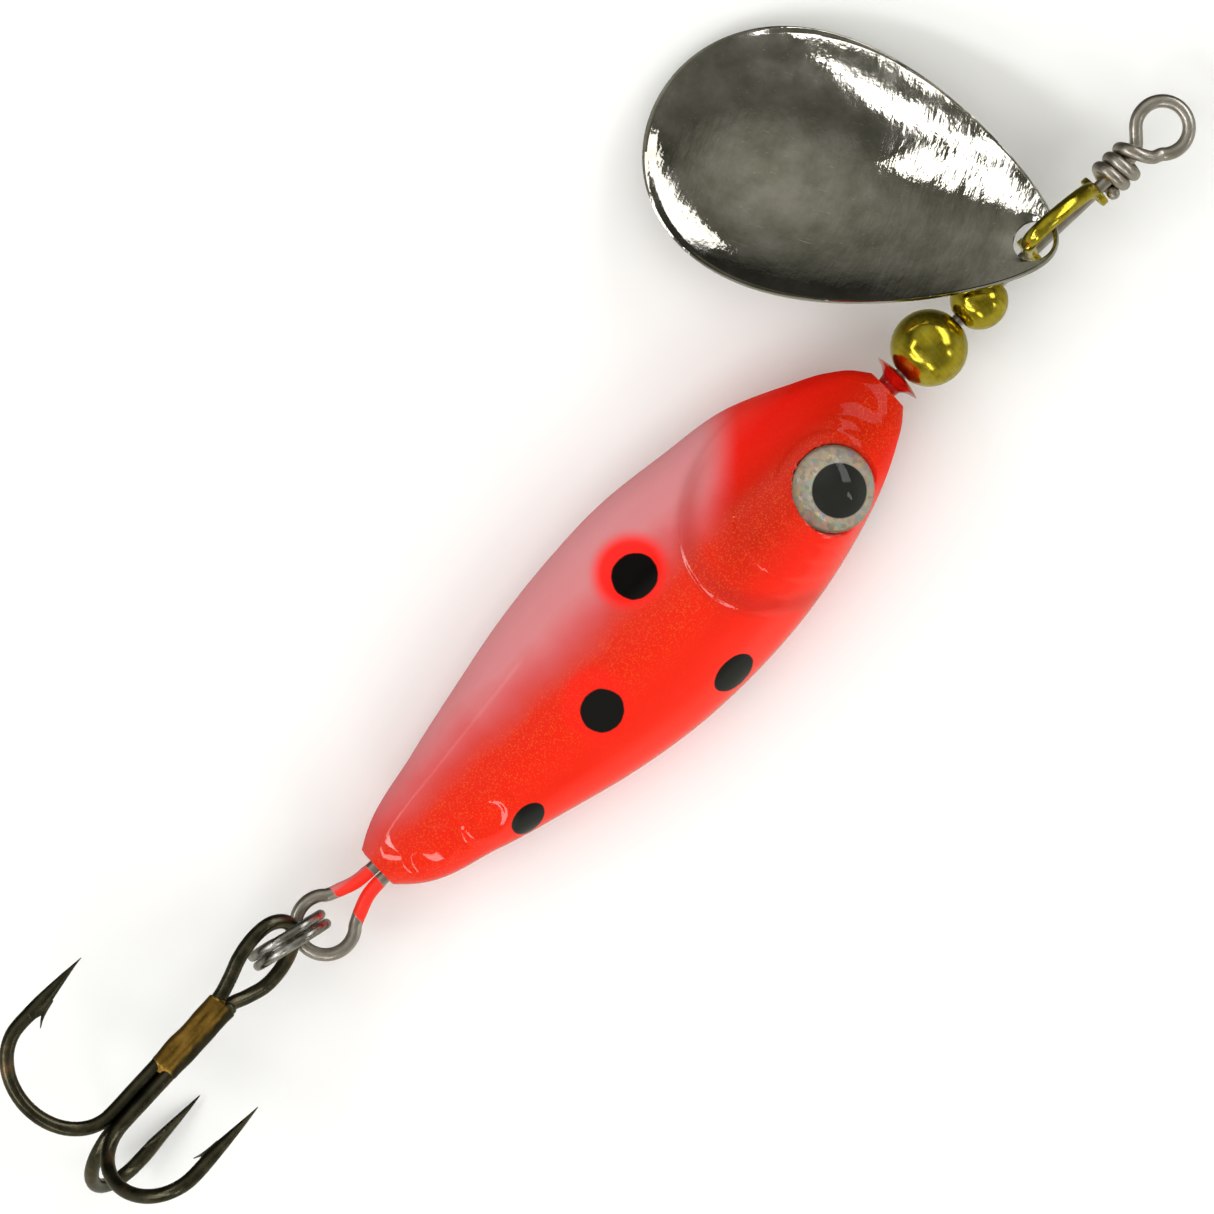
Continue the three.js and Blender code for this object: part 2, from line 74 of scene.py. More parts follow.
# ---- shaft wire ----

WIRE_R = 0.35
EYE_LOOP_R = 1.37
WRAP_PITCH = 0.72
WRAP_R = 0.73
WRAP_START_X = -2.24
WRAP_TURNS = 2.47
LOOP_R = 1.53
LOOP_CENTRE = (-59.2, -0.28, 0)
MAIN_LEG_Y = 0.2
RETURN_LEG_Y = -0.57
LEG_PAINT_X = (-57.75, -55.62)
LEG_PAINT_SKIN = 0.02

# ---- clevis and blade ----

CLEVIS_ROLL = math.radians(8)
FRONT_EAR_X = -4.68
REAR_EAR_X = -9.2
EAR_R = 0.87
EAR_THICKNESS = 0.4
BORE_R = 0.47
BOW_HEIGHT = 3.5
BOW_HALF_WIDTH = 0.43
BOW_HALF_THICKNESS = 0.36

BLADE_LENGTH = 22.5
BLADE_THICKNESS = 0.45
BLADE_DISH = 2.4
BLADE_HOLE_R = 1.07
BLADE_HOLE_FROM_TIP = 1.3
BLADE_HEADING = math.radians(117.4)
BLADE_TILT = math.radians(13.5)
BLADE_ROLL = math.radians(8)
LEG_HEIGHT = 2.05
LEG_IN_BLADE = (1.46, 0.31)  # from the tip, and across
RIM_WIDTH = 0.36
RIM_HEIGHT = 0.06

# ---- beads and sleeve ----

SMALL_BEAD = (-12.82, 1.5)  # middle, and radius
LARGE_BEAD = (-16.35, 2.0)
COUNTERSINK = 0.12
SLEEVE_R = 0.585
SLEEVE_END_X = -51.3
CUP_FACE_X = -18.4

# ---- fish body ----

NOSE_X = -19.4
TAIL_X = -55.2
HALF_THICKNESS = 3.9
SECTION_POWER = 2.3
BODY_BORE_R = 0.655
SOCKET_Y = -0.18
SOCKET_HALF = (0.84, 0.46)
SOCKET_END_X = -51.6
EYE = (-24.95, -1.9)
EYE_R = 2.25
EYE_POCKET_R = 2.35
EYE_POCKET_DEPTH = 0.3
FOIL_THICKNESS = 0.12
DOME_EDGE = 0.1  # straight side below the crown
DOME_HEIGHT = 1.03  # of the crown
PUPIL_OFFSET = (0.15, -0.25)
PUPIL_R = 1.42
GILL = ((-26.2, -0.9), (7.1, 5.3))  # edge of the gill cover: centre and reach

BACK_LINE = [
    (-55.2, 1.25), (-54.6, 1.62), (-50, 3.05), (-46, 4.05), (-42, 4.95), (-38, 5.52), (-34.5, 5.75),
    (-30, 5.4), (-26.2, 4.9), (-23, 3.62), (-21, 2.62), (-20, 1.85), (-19.4, 1.1),
]
BELLY_LINE = [
    (-55.2, 1.2), (-54.6, 1.75), (-50, 3.55), (-46, 4.6), (-42, 5.5), (-38, 6.0), (-35, 6.05),
    (-30, 5.6), (-26, 4.65), (-23, 3.55), (-21, 2.5), (-20, 1.85), (-19.4, 1.3),
]
FLANK_LINE = [
    (-55.2, 1.15), (-54.6, 1.5), (-50, 2.45), (-46, 3.15), (-42, 3.68), (-38, 3.95), (-34.5, 4.02),
    (-30, 3.78), (-26, 3.2), (-23, 2.5), (-21, 1.9), (-20, 1.5), (-19.4, 1.15),
]

# ---- split ring and treble ----

RING_R = 2.05
RING_WIRE_R = 0.26
RING_ENDS = (35, 685)  # degrees round the coil
RING_CROSSOVER = (328, 392)
RING_CENTRE = (-61.05, 0.42, 0.7)
RING_YAW = math.radians(-11.5)

HOOK_WIRE_R = 0.38
SHANK_OFFSET = 0.46
HOOK_REACH = 7.1
HOOK_BEND_HALF = 2.75
SHANK_LENGTH = 8.3
TREBLE_PITCH = math.radians(11.5)
TREBLE_YAW = math.radians(3.95)
TREBLE_START = (-65.4, 0.32, 2.28)
DOUBLE_HOOK_ANGLES = (math.radians(11.7), math.radians(251.7))
SINGLE_HOOK_ANGLE = math.radians(131.7)
EYE_PLANE_ANGLE = math.radians(41.7)
BRAZE_LENGTH = 4.9

# ---- camera ----

VIEW_CENTRE = (-37.5, 1.67)
VIEW_WIDTH = 62.3
VIEW_DISTANCE = 450
VIEW_ROLL = math.radians(-43.34)
SENSOR = 36
CEILING = 0.5  # metres above the lure, where the lights are
FLOOR_HALF = 1.5


def place(points):
    """Points in lure millimetres, as an array of packed-model metres."""
    return np.asarray(points, float) * MM + np.array(ORIGIN)


# ---- curves and surfaces ----


def hermite(p0, p1, p2, p3, steps):
    """One span of a centripetal Catmull-Rom curve, from p1 up to just before p2."""
    d0, d1, d2 = (max(np.linalg.norm(b - a) ** 0.5, 1e-4) for a, b in ((p0, p1), (p1, p2), (p2, p3)))
    start = ((p1 - p0) / d0 - (p2 - p0) / (d0 + d1) + (p2 - p1) / d1) * d1
    end = ((p2 - p1) / d1 - (p3 - p1) / (d1 + d2) + (p3 - p2) / d2) * d1
    t = np.linspace(0, 1, steps, endpoint=False)[:, None]
    return (
        (2 * t**3 - 3 * t**2 + 1) * p1
        + (t**3 - 2 * t**2 + t) * start
        + (3 * t**2 - 2 * t**3) * p2
        + (t**3 - t**2) * end
    )


def spline(knots, steps=8):
    """A smooth curve through the knots."""
    knots = np.array(knots, float)
    ends = np.vstack([2 * knots[0] - knots[1], knots, 2 * knots[-1] - knots[-2]])
    spans = [hermite(*ends[i : i + 4], steps) for i in range(len(knots) - 1)]
    return np.vstack([*spans, knots[-1:]])


def curve_of(rows):
    """A smooth function through rows of (x, value)."""
    xs, values = np.array(rows, float).T
    slopes = np.gradient(values, xs)

    def at(x):
        x = np.clip(x, xs[0], xs[-1])
        i = np.clip(np.searchsorted(xs, x) - 1, 0, len(xs) - 2)
        width = xs[i + 1] - xs[i]
        t = (x - xs[i]) / width
        rise = (2 * t**3 - 3 * t**2 + 1) * values[i] + (3 * t**2 - 2 * t**3) * values[i + 1]
        return rise + width * ((t**3 - 2 * t**2 + t) * slopes[i] + (t**3 - t**2) * slopes[i + 1])

    return at


def smoothstep(x, low, high):
    t = np.clip((x - low) / (high - low), 0, 1)
    return t * t * (3 - 2 * t)


def arc(centre, radius, start, stop, count):
    """Points on an arc parallel to the XY plane, angles in degrees."""
    angles = np.radians(np.linspace(start, stop, count))
    return [(centre[0] + radius * math.cos(a), centre[1] + radius * math.sin(a), centre[2]) for a in angles]


def frames_along(path, across=None):
    """Two unit vectors square to the path at each of its points, turning as little as they can.
    With across, the first keeps as close to that direction as it can."""
    tangents = np.gradient(path, axis=0)
    tangents /= np.linalg.norm(tangents, axis=1)[:, None]
    start = np.array(across if across is not None else Vector(tangents[0]).orthogonal(), float)
    sides = []
    for tangent in tangents:
        guide = start if across is not None or not sides else sides[-1]
        side = guide - tangent * (guide @ tangent)
        sides.append(side / np.linalg.norm(side))
    sides = np.array(sides)
    return tangents, sides, np.cross(tangents, sides)


def tube(path, radii, sides=20, flat=1.0, across=None):
    """Rings round a path with domed ends. flat thins the section along the second side vector."""
    path = np.asarray(path, float)
    radii = np.broadcast_to(np.asarray(radii, float), len(path))
    tangents, first, second = frames_along(path, across)
    turn = np.linspace(0, 2 * math.pi, sides, endpoint=False)[:, None]
    rings = [
        c + r * (np.cos(turn) * a + flat * np.sin(turn) * b)
        for c, r, a, b in zip(path, radii, first, second)
    ]
    dome = [math.radians(a) for a in (82, 60, 35, 15)]

    def cap(end, way):
        centre = path[end]
        return [
            centre + (rings[end] - centre) * math.cos(a)
            + way * tangents[end] * radii[end] * flat * math.sin(a) * 0.6
            for a in dome
        ]

    return np.array([*cap(0, -1), *rings, *reversed(cap(-1, 1))])


def skin(rings, closed=False):
    """Vertices and faces over rings of equal length. Open ends are closed with a fan."""
    count, sides = len(rings), len(rings[0])
    verts = np.asarray(rings, float).reshape(-1, 3)
    faces = [
        (a * sides + s, a * sides + (s + 1) % sides, b * sides + (s + 1) % sides, b * sides + s)
        for a, b in zip(range(count), [*range(1, count), 0] if closed else range(1, count))
        for s in range(sides)
    ]
    if closed:
        return verts, faces
    ends = [np.mean(rings[0], axis=0), np.mean(rings[-1], axis=0)]
    low, high = len(verts), len(verts) + 1
    last = (count - 1) * sides
    faces += [(low, (s + 1) % sides, s) for s in range(sides)]
    faces += [(high, last + s, last + (s + 1) % sides) for s in range(sides)]
    return np.vstack([verts, ends]), faces


def lathe(rows, sides=96):
    """A closed profile of (x, radius) turned round the shaft's axis."""
    turn = np.linspace(0, 2 * math.pi, sides, endpoint=False)
    rings = [np.column_stack([np.full(sides, x), r * np.cos(turn), r * np.sin(turn)]) for x, r in rows]
    return skin(rings, closed=True)


def joined(*parts):
    """Several (vertices, faces) pairs as one."""
    verts, faces, shift = [], [], 0
    for part_verts, part_faces in parts:
        verts.append(part_verts)
        faces += [tuple(i + shift for i in face) for face in part_faces]
        shift += len(part_verts)
    return np.vstack(verts), faces


def turned(part, matrix, offset=(0, 0, 0)):
    verts, faces = part
    return verts @ np.array(matrix.to_3x3()).T + np.array(offset, float), faces


def rotation(roll, pitch, heading):
    """Roll about x, then pitch about y, then heading about z."""
    return Matrix.Rotation(heading, 3, "Z") @ Matrix.Rotation(pitch, 3, "Y") @ Matrix.Rotation(roll, 3, "X")


def piece(name, part, material, body, node, sharp=40):
    """A finished piece: a smooth mesh with its sharp edges kept, riding on a body in place of a CAD node."""
    verts, faces = part
    mesh = bpy.data.meshes.new(name)
    mesh.from_pydata(place(verts).tolist(), [], faces)
    shape = bmesh.new()
    shape.from_mesh(mesh)
    bmesh.ops.remove_doubles(shape, verts=shape.verts, dist=1e-8)
    bmesh.ops.recalc_face_normals(shape, faces=shape.faces)
    for face in shape.faces:
        face.smooth = True
    for edge in shape.edges:
        edge.smooth = len(edge.link_faces) != 2 or edge.calc_face_angle(0) < math.radians(sharp)
    shape.to_mesh(mesh)
    shape.free()
    mesh.materials.append(material)
    obj = bpy.data.objects.new(name, mesh)
    bpy.context.scene.collection.objects.link(obj)
    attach(obj, body)
    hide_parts(node)
    return obj


# ---- materials ----


def srgb(red, green, blue):
    """A screen colour, 0 to 255, as the linear colour that a shader takes."""
    return (*(((c / 255 + 0.055) / 1.055) ** 2.4 if c > 10 else c / 3294.6 for c in (red, green, blue)), 1)


class Look:
    """A material under construction: its Principled shader, and short ways to add nodes before it."""

    def __init__(self, name, **sockets):
        self.material = bpy.data.materials.new(name)
        self.material.use_nodes = True
        self.tree = self.material.node_tree
        self.shader = self.tree.nodes["Principled BSDF"]
        self.set(**sockets)
        self.mm = self.lure_millimetres()

    def set(self, **sockets):
        """Sets or links sockets of the shader: Base_Color=..., Roughness=..."""
        for name, value in sockets.items():
            self.plug(self.shader.inputs[name.replace("_", " ")], value)

    def plug(self, socket, value):
        if isinstance(value, bpy.types.NodeSocket):
            self.tree.links.new(value, socket)
        elif socket.type == "RGBA" and not isinstance(value, (int, float)) and len(value) == 3:
            socket.default_value = (*value, 1)
        else:
            socket.default_value = value

    def node(self, kind, values, output=0, **settings):
        made = self.tree.nodes.new("ShaderNode" + kind)
        for name, value in settings.items():
            setattr(made, name, value)
        for key, value in values.items():
            self.plug(made.inputs[key], value)
        return made.outputs[output]

    def lure_millimetres(self):
        """The shaded point in the lure's own millimetres."""
        point = self.node("TexCoord", {}, 3)
        shifted = self.node("VectorMath", {0: point, 1: ORIGIN}, operation="SUBTRACT")
        return self.node("VectorMath", {0: shifted, 3: 1 / MM}, operation="SCALE")

    def math(self, operation, a, b=0.0, c=0.0):
        return self.node("Math", {0: a, 1: b, 2: c}, operation=operation)

    def split(self, vector):
        made = self.tree.nodes.new("ShaderNodeSeparateXYZ")
        self.plug(made.inputs[0], vector)
        return made.outputs

    def stretched(self, scale, vector=None):
        """The point multiplied by a vector, so that noise on it is drawn out."""
        return self.node("VectorMath", {0: vector or self.mm, 1: scale}, operation="MULTIPLY")

    def noise(self, scale, detail=2.0, rough=0.5, vector=None, distortion=0.0):
        values = {"Vector": vector or self.mm, "Scale": scale, "Detail": detail}
        return self.node("TexNoise", {**values, "Roughness": rough, "Distortion": distortion})

    def ramp(self, value, low, high, bottom=0.0, top=1.0, smooth=True):
        kind = "SMOOTHSTEP" if smooth else "LINEAR"
        values = {"Value": value, "From Min": low, "From Max": high, "To Min": bottom, "To Max": top}
        return self.node("MapRange", values, interpolation_type=kind)

    def colours(self, value, stops, low, high):
        """A run of colours: stops are (value, colour) between low and high."""
        made = self.tree.nodes.new("ShaderNodeValToRGB")
        self.plug(made.inputs[0], self.ramp(value, low, high, smooth=False))
        elements = made.color_ramp.elements
        while len(elements) < len(stops):
            elements.new(0.5)
        for element, (at, colour) in zip(elements, sorted(stops)):
            element.position = (at - low) / (high - low)
            element.color = colour
        return made.outputs[0]

    def mix(self, share, a, b, kind="MIX"):
        made = self.tree.nodes.new("ShaderNodeMix")
        made.data_type = "RGBA"
        made.blend_type = kind
        for socket, value in ((made.inputs[0], share), (made.inputs[6], a), (made.inputs[7], b)):
            self.plug(socket, value)
        return made.outputs[2]

    def bump(self, height, distance, strength=1.0, under=None):
        values = {"Height": height, "Distance": distance * MM, "Strength": strength}
        if under is not None:
            values["Normal"] = under
        return self.node("Bump", values)

    def spot(self, centre, radii, soft, wobble=None):
        """1 inside an ellipse on the flank, 0 outside it, with an edge so many radii wide."""
        parts = self.split(self.mm)
        across = self.math("DIVIDE", self.math("SUBTRACT", parts[0], centre[0]), radii[0])
        up = self.math("DIVIDE", self.math("SUBTRACT", parts[1], centre[1]), radii[1])
        reach = self.math("SQRT", self.math("ADD", self.math("POWER", self.math("ABSOLUTE", across), 2.0),
                                            self.math("POWER", self.math("ABSOLUTE", up), 2.0)))
        if wobble is not None:
            reach = self.math("ADD", reach, wobble)
        return self.ramp(reach, 1 - soft, 1 + soft, 1.0, 0.0)

    def drift(self, scale, detail, size):
        """Noise that wanders about 0."""
        return self.math("MULTIPLY", self.math("SUBTRACT", self.noise(scale, detail), 0.5), size)


def drawn_steel():
    """Stainless spring wire with faint draw lines, and red paint where the legs meet the tail."""
    look = Look("drawn_steel", Metallic=1.0)
    lines = look.noise(1.0, 3, vector=look.stretched((0.7, 9, 9)))
    blotch = look.noise(0.9, 3)
    tone = look.math("ADD", look.math("MULTIPLY", blotch, 0.7), look.math("MULTIPLY", lines, 0.3))
    stops = [(0.3, srgb(168, 158, 146)), (0.5, srgb(198, 190, 180)), (0.7, srgb(220, 214, 206))]
    bare = look.colours(tone, stops, 0.25, 0.75)
    x, y, _ = look.split(look.mm)
    edge = look.math("ADD", x, look.drift(2.2, 2, 0.25))
    painted = look.math("MULTIPLY", look.ramp(edge, LEG_PAINT_X[0] - 0.05, LEG_PAINT_X[0] + 0.05),
                        look.ramp(edge, LEG_PAINT_X[1] - 0.05, LEG_PAINT_X[1] + 0.05, 1.0, 0.0))
    border = look.math("MULTIPLY", look.math("SUBTRACT", x, -55.6), -0.12)
    pearl = look.ramp(look.math("SUBTRACT", y, border), 0.28, 0.55)
    paint = look.mix(pearl, srgb(246, 42, 24), srgb(214, 110, 112))
    look.set(
        Base_Color=look.mix(painted, bare, paint),
        Metallic=look.ramp(painted, 0.3, 0.7, 1.0, 0.0),
        Roughness=look.math("ADD", look.math("MULTIPLY", lines, 0.16), 0.24),
        Normal=look.bump(lines, 0.012, 0.6),
    )
    return look.material


def bright_brass(name, scale=1.0):
    """Polished yellow-green brass with turning lines and small stains."""
    look = Look(name, Metallic=1.0)
    rings = look.noise(1.0, 3, vector=look.stretched((7 * scale, 0.5, 0.5)))
    stain = look.noise(1.6, 4, 0.6)
    tone = look.math("ADD", look.math("MULTIPLY", stain, 0.75), look.math("MULTIPLY", rings, 0.25))
    stops = [(0.3, srgb(176, 152, 36)), (0.5, srgb(206, 186, 54)), (0.72, srgb(222, 208, 88))]
    look.set(
        Base_Color=look.colours(tone, stops, 0.25, 0.75),
        Roughness=look.ramp(stain, 0.35, 0.75, 0.14, 0.24),
        Normal=look.bump(look.math("ADD", rings, look.math("MULTIPLY", look.noise(9, 2), 0.5)), 0.006, 0.6),
    )
    return look.material


def blade_point(look):
    """The shaded point in the blade's own axes: x along it from the tip, y across it."""
    matrix = rotation(BLADE_ROLL, BLADE_TILT, BLADE_HEADING)
    rows = [tuple(matrix.col[i]) for i in range(3)]
    dots = [look.node("VectorMath", {0: look.mm, 1: row}, 1, operation="DOT_PRODUCT") for row in rows]
    return look.node("CombineXYZ", dict(enumerate(dots)))


def plated_blade():
    """Bright plating on rolled sheet: fine cross ripples from the press, a pebbled skin, a few scratches."""
    look = Look("plated_blade", Metallic=1.0)
    point = blade_point(look)
    ripple = look.noise(1.0, 2, 0.55, vector=look.stretched((2.4, 0.7, 0.7), point))
    pebble = look.noise(5.0, 2, 0.5, vector=point)
    cloud = look.noise(0.55, 4, 0.6, vector=point)
    scratch = look.ramp(look.noise(1.0, 1, vector=look.stretched((0.5, 14, 14), point)), 0.72, 0.76)
    dents = look.math("MULTIPLY", look.noise(0.6, 2, vector=point), 2.5)
    fine = look.math("ADD", look.math("ADD", ripple, dents), look.math("MULTIPLY", pebble, 0.35))
    stops = [(0.3, srgb(146, 143, 132)), (0.5, srgb(168, 165, 155)), (0.7, srgb(186, 182, 176))]
    plating = look.colours(cloud, stops, 0.25, 0.75)
    look.set(
        Base_Color=look.mix(look.math("MULTIPLY", scratch, 0.5), plating, srgb(226, 224, 218)),
        Roughness=look.ramp(cloud, 0.35, 0.7, 0.04, 0.11),
        Normal=look.bump(fine, 0.016, 0.7),
    )
    return look.material


def red_plastic():
    """Moulded translucent red plastic."""
    look = Look("red_plastic", Roughness=0.2, Coat_Weight=0.4)
    look.set(Subsurface_Weight=0.25, Subsurface_Scale=0.4 * MM)
    swirl = look.noise(1.4, 3)
    stops = [(0.3, srgb(150, 12, 8)), (0.7, srgb(205, 22, 14))]
    look.set(Base_Color=look.colours(swirl, stops, 0.25, 0.75))
    look.set(Normal=look.bump(look.noise(6, 2), 0.008, 0.5))
    return look.material


SPOTS = [((-35.4, 1.85), (1.22, 1.16)), ((-41.3, -2.0), (1.14, 1.1)), ((-35.1, -5.2), (1.22, 0.66)),
         ((-47.85, -3.42), (1.0, 0.62))]
HALOS = [((-35.4, 2.2), (1.9, 1.8), 0.95), ((-41.3, -1.5), (1.75, 1.75), 0.55)]


def fish_paint():
    """Fluorescent red, a pearl back, gold glitter and black spots with red halos, under a gloss coat; the
    belly is partly lightened with painted light, and the gill edge carries a band of painted shade.
    """
    look = Look("fish_paint", Roughness=0.5, Specular_IOR_Level=0.0, Coat_Roughness=0.04)
    x, y, _ = look.split(look.mm)
    height = look.math("ADD", y, look.drift(0.35, 3, 1.3))
    # Two-tone paint, red below and pearl on the back, plus painted light: the belly stops are lighter and
    # more saturated where light falls on the lower flank. The head's ramp is darker in a band just above the
    # eye.
    flank = look.colours(height, [
        (-5.5, srgb(255, 50, 34)), (-3.2, srgb(244, 37, 14)), (-1.2, srgb(234, 34, 10)),
        (0.1, srgb(224, 40, 22)), (1.0, srgb(212, 68, 62)), (2.0, srgb(211, 96, 98)),
        (3.2, srgb(214, 132, 136)), (5.2, srgb(217, 142, 146)),
    ], -6, 6)
    head = look.colours(height, [
        (-5.0, srgb(255, 56, 42)), (-3.2, srgb(244, 36, 16)), (-1.0, srgb(204, 34, 12)),
        (0.8, srgb(196, 30, 9)), (3.0, srgb(228, 27, 17)), (4.6, srgb(238, 60, 50)),
    ], -6, 6)
    slant = look.math("ADD", x, look.math("MULTIPLY", look.math("SUBTRACT", 4.5, y), 0.95))
    colour = look.mix(look.ramp(slant, -28.6, -25.4), flank, head)
    # Painted shade: a darker band just inside the gill cover's edge, fading out towards the nose, stands in
    # for the shade of the raised edge.
    gill = look.spot(*GILL, 0.09)
    inside = look.spot(GILL[0], (6.3, 4.6), 0.12)
    painted_gill_shade = look.math("MULTIPLY", look.math("SUBTRACT", gill, inside), look.ramp(x, -30.5, -27.0, 0.55, 0.0))
    colour = look.mix(painted_gill_shade, colour, srgb(168, 40, 34))
    warm = look.math("MULTIPLY", look.ramp(height, -3.4, -1.5), look.ramp(height, 0.2, 1.4, 1.0, 0.0))
    flecks = look.node("TexVoronoi", {"Vector": look.mm, "Scale": 19.0}, 1)
    bright = look.ramp(look.split(flecks)[0], 0.8, 0.9)
    glitter = look.math("MULTIPLY", bright, look.math("ADD", look.math("MULTIPLY", warm, 0.2), 0.03))
    colour = look.mix(glitter, colour, srgb(244, 132, 50))
    wobble = look.drift(1.6, 2, 0.1)
    for centre, radii, share in HALOS:
        halo = look.math("MULTIPLY", look.spot(centre, radii, 0.25), share)
        colour = look.mix(halo, colour, srgb(252, 32, 22))
    black = None
    for centre, radii in SPOTS:
        dot = look.spot(centre, radii, 0.035, wobble)
        black = dot if black is None else look.math("MAXIMUM", black, dot)
    coat = look.math("MULTIPLY", look.ramp(x, -24.6, -22.2, 1.0, 0.25), look.ramp(y, 0.4, 1.6, 1.0, 0.15))
    look.set(
        Base_Color=look.mix(black, colour, srgb(10, 9, 8)),
        Metallic=look.math("MULTIPLY", glitter, 0.6),
        Coat_Weight=coat,
        Normal=look.bump(look.math("ADD", look.noise(1.1, 2), look.math("MULTIPLY", black, 0.8)), 0.02, 0.5),
    )
    return look.material


def eye_foil():
    """Holographic foil round a black pupil: silver-beige with fine rainbow flecks that run round the eye."""
    look = Look("eye_foil", Roughness=0.3)
    centre = (EYE[0] + PUPIL_OFFSET[0], EYE[1] + PUPIL_OFFSET[1])
    cells = look.node("TexVoronoi", {"Vector": look.mm, "Scale": 4.5}, 1)
    hue = look.split(cells)[0]
    rainbow = look.colours(hue, [
        (0.0, srgb(222, 216, 200)), (0.3, srgb(160, 154, 140)), (0.5, srgb(236, 190, 164)),
        (0.62, srgb(160, 214, 168)), (0.75, srgb(162, 176, 228)), (0.88, srgb(238, 222, 130)),
        (1.0, srgb(240, 170, 186)),
    ], 0, 1)
    rim = look.spot(EYE, (EYE_R * 0.95, EYE_R * 0.95), 0.04)
    iris = look.mix(rim, srgb(150, 138, 118), look.mix(0.65, srgb(208, 200, 184), rainbow))
    pupil = look.spot(centre, (PUPIL_R, PUPIL_R), 0.03)
    look.set(
        Base_Color=look.mix(pupil, iris, srgb(12, 12, 11)),
        Metallic=look.math("MULTIPLY", look.math("SUBTRACT", 1.0, pupil), 0.12),
        Normal=look.bump(look.noise(5, 2), 0.03, 0.6),
    )
    return look.material


def clear_resin():
    """A clear dome: it mirrors a little, more at its edge, and lets the rest of the light through."""
    look = Look("clear_resin")
    look.tree.nodes.remove(look.shader)
    gloss = look.node("BsdfGlossy", {"Color": (1, 1, 1, 1), "Roughness": 0.03})
    clear = look.node("BsdfTransparent", {"Color": (0.97, 0.97, 0.96, 1)})
    fresnel = look.node("Fresnel", {"IOR": 1.5, "Normal": look.bump(look.noise(1.2, 2), 0.02, 0.5)})
    mixed = look.node("MixShader", {0: look.math("MULTIPLY", fresnel, 0.65), 1: clear, 2: gloss})
    look.tree.links.new(mixed, look.tree.nodes["Material Output"].inputs["Surface"])
    return look.material


def ring_steel():
    """Grey tempered steel, scuffed, with a trace of the body's red paint."""
    look = Look("ring_steel", Metallic=1.0)
    scuff = look.noise(1.3, 4, 0.6)
    x, _, _ = look.split(look.mm)
    trace = look.math("MULTIPLY", look.ramp(look.noise(1.9, 2), 0.6, 0.66), look.ramp(x, -60.2, -59.4))
    stops = [(0.3, srgb(122, 120, 114)), (0.5, srgb(166, 163, 156)), (0.72, srgb(204, 202, 198))]
    look.set(
        Base_Color=look.mix(trace, look.colours(scuff, stops, 0.25, 0.75), srgb(190, 40, 34)),
        Metallic=look.ramp(trace, 0.2, 0.8, 1.0, 0.0),
        Roughness=look.ramp(scuff, 0.3, 0.7, 0.18, 0.34),
        Normal=look.bump(look.noise(6, 3), 0.01, 0.6),
    )
    return look.material


def hook_bronze():
    """Dark bronzed hook wire, glossy, browner where it is worn."""
    look = Look("hook_bronze", Metallic=1.0)
    wear = look.noise(0.8, 4, 0.6)
    stops = [(0.3, srgb(66, 64, 50)), (0.55, srgb(92, 88, 70)), (0.75, srgb(138, 114, 84))]
    look.set(
        Base_Color=look.colours(wear, stops, 0.25, 0.8),
        Roughness=look.ramp(wear, 0.3, 0.7, 0.22, 0.34),
        Normal=look.bump(look.noise(5, 3), 0.012, 0.6),
    )
    return look.material


def braze_metal():
    """Golden-brown braze, lumpy and darkened in patches."""
    look = Look("braze_metal", Metallic=1.0)
    patch = look.noise(1.1, 4, 0.65)
    stops = [(0.3, srgb(120, 92, 40)), (0.5, srgb(158, 122, 54)), (0.7, srgb(190, 146, 72))]
    x, y, _ = look.split(look.mm)
    slope = math.tan(TREBLE_YAW)
    axis_y = look.math("ADD", look.math("MULTIPLY", x, slope), TREBLE_START[1] - TREBLE_START[0] * slope)
    off_axis = look.math("ADD", look.math("SUBTRACT", y, axis_y), look.drift(1.4, 3, 0.5))
    golden = look.colours(patch, stops, 0.25, 0.75)
    look.set(
        Base_Color=look.mix(look.ramp(off_axis, -0.42, -0.2), srgb(74, 68, 50), golden),
        Roughness=look.ramp(patch, 0.3, 0.7, 0.46, 0.32),
        Normal=look.bump(look.math("ADD", patch, look.math("MULTIPLY", look.noise(4, 3), 0.3)), 0.06, 0.7),
    )
    return look.material


# ---- shaft wire ----


def shaft_route():
    turns = np.linspace(WRAP_TURNS, 0, 61)
    wraps = [
        (WRAP_START_X - WRAP_PITCH * t, WRAP_R * math.sin(math.pi / 2 + 2 * math.pi * t),
         WRAP_R * math.cos(math.pi / 2 + 2 * math.pi * t))
        for t in turns
    ]
    before_eye = [(-2.08, 0.5, 0.54), (-1.86, 0.05, 0.72), (-1.62, -0.4, 0.58), (-1.3, -0.78, 0.28)]
    line_eye = arc((LINE_EYE_X, 0, 0), EYE_LOOP_R, -135, 135, 28)
    shaft = [
        (-1.15, 0.62, -0.08), (-1.5, 0.25, -0.12), (-2.0, 0.03, -0.04), (-2.6, 0, 0), (-8, 0, 0), (-30, 0, 0),
        (-52.6, 0, 0), (-53.6, 0.08, 0), (-54.6, MAIN_LEG_Y - 0.03, 0), (-55.8, MAIN_LEG_Y, 0),
        (-56.6, 0.27, 0), (-57.4, 0.52, 0),
    ]
    rear_loop = arc(LOOP_CENTRE, LOOP_R, 45, 315, 28)
    back = [
        (-57.4, -1.0, 0), (-56.6, -0.68, 0), (-55.8, RETURN_LEG_Y, 0), (-54.4, RETURN_LEG_Y, 0),
        (-52.9, RETURN_LEG_Y - 0.02, 0),
    ]
    return spline([*wraps, *before_eye, *line_eye, *shaft, *rear_loop, *back], 5)


def shaft_wire():
    """The whole wire, a little thicker where it is painted."""
    path = shaft_route()
    x = path[:, 0]
    far, near = LEG_PAINT_X
    painted = smoothstep(x, far - 0.1, far + 0.4) * smoothstep(-x, -near - 0.02, -near + 0.1)
    return skin(tube(path, WIRE_R + LEG_PAINT_SKIN * painted, 20))


# ---- clevis and blade ----


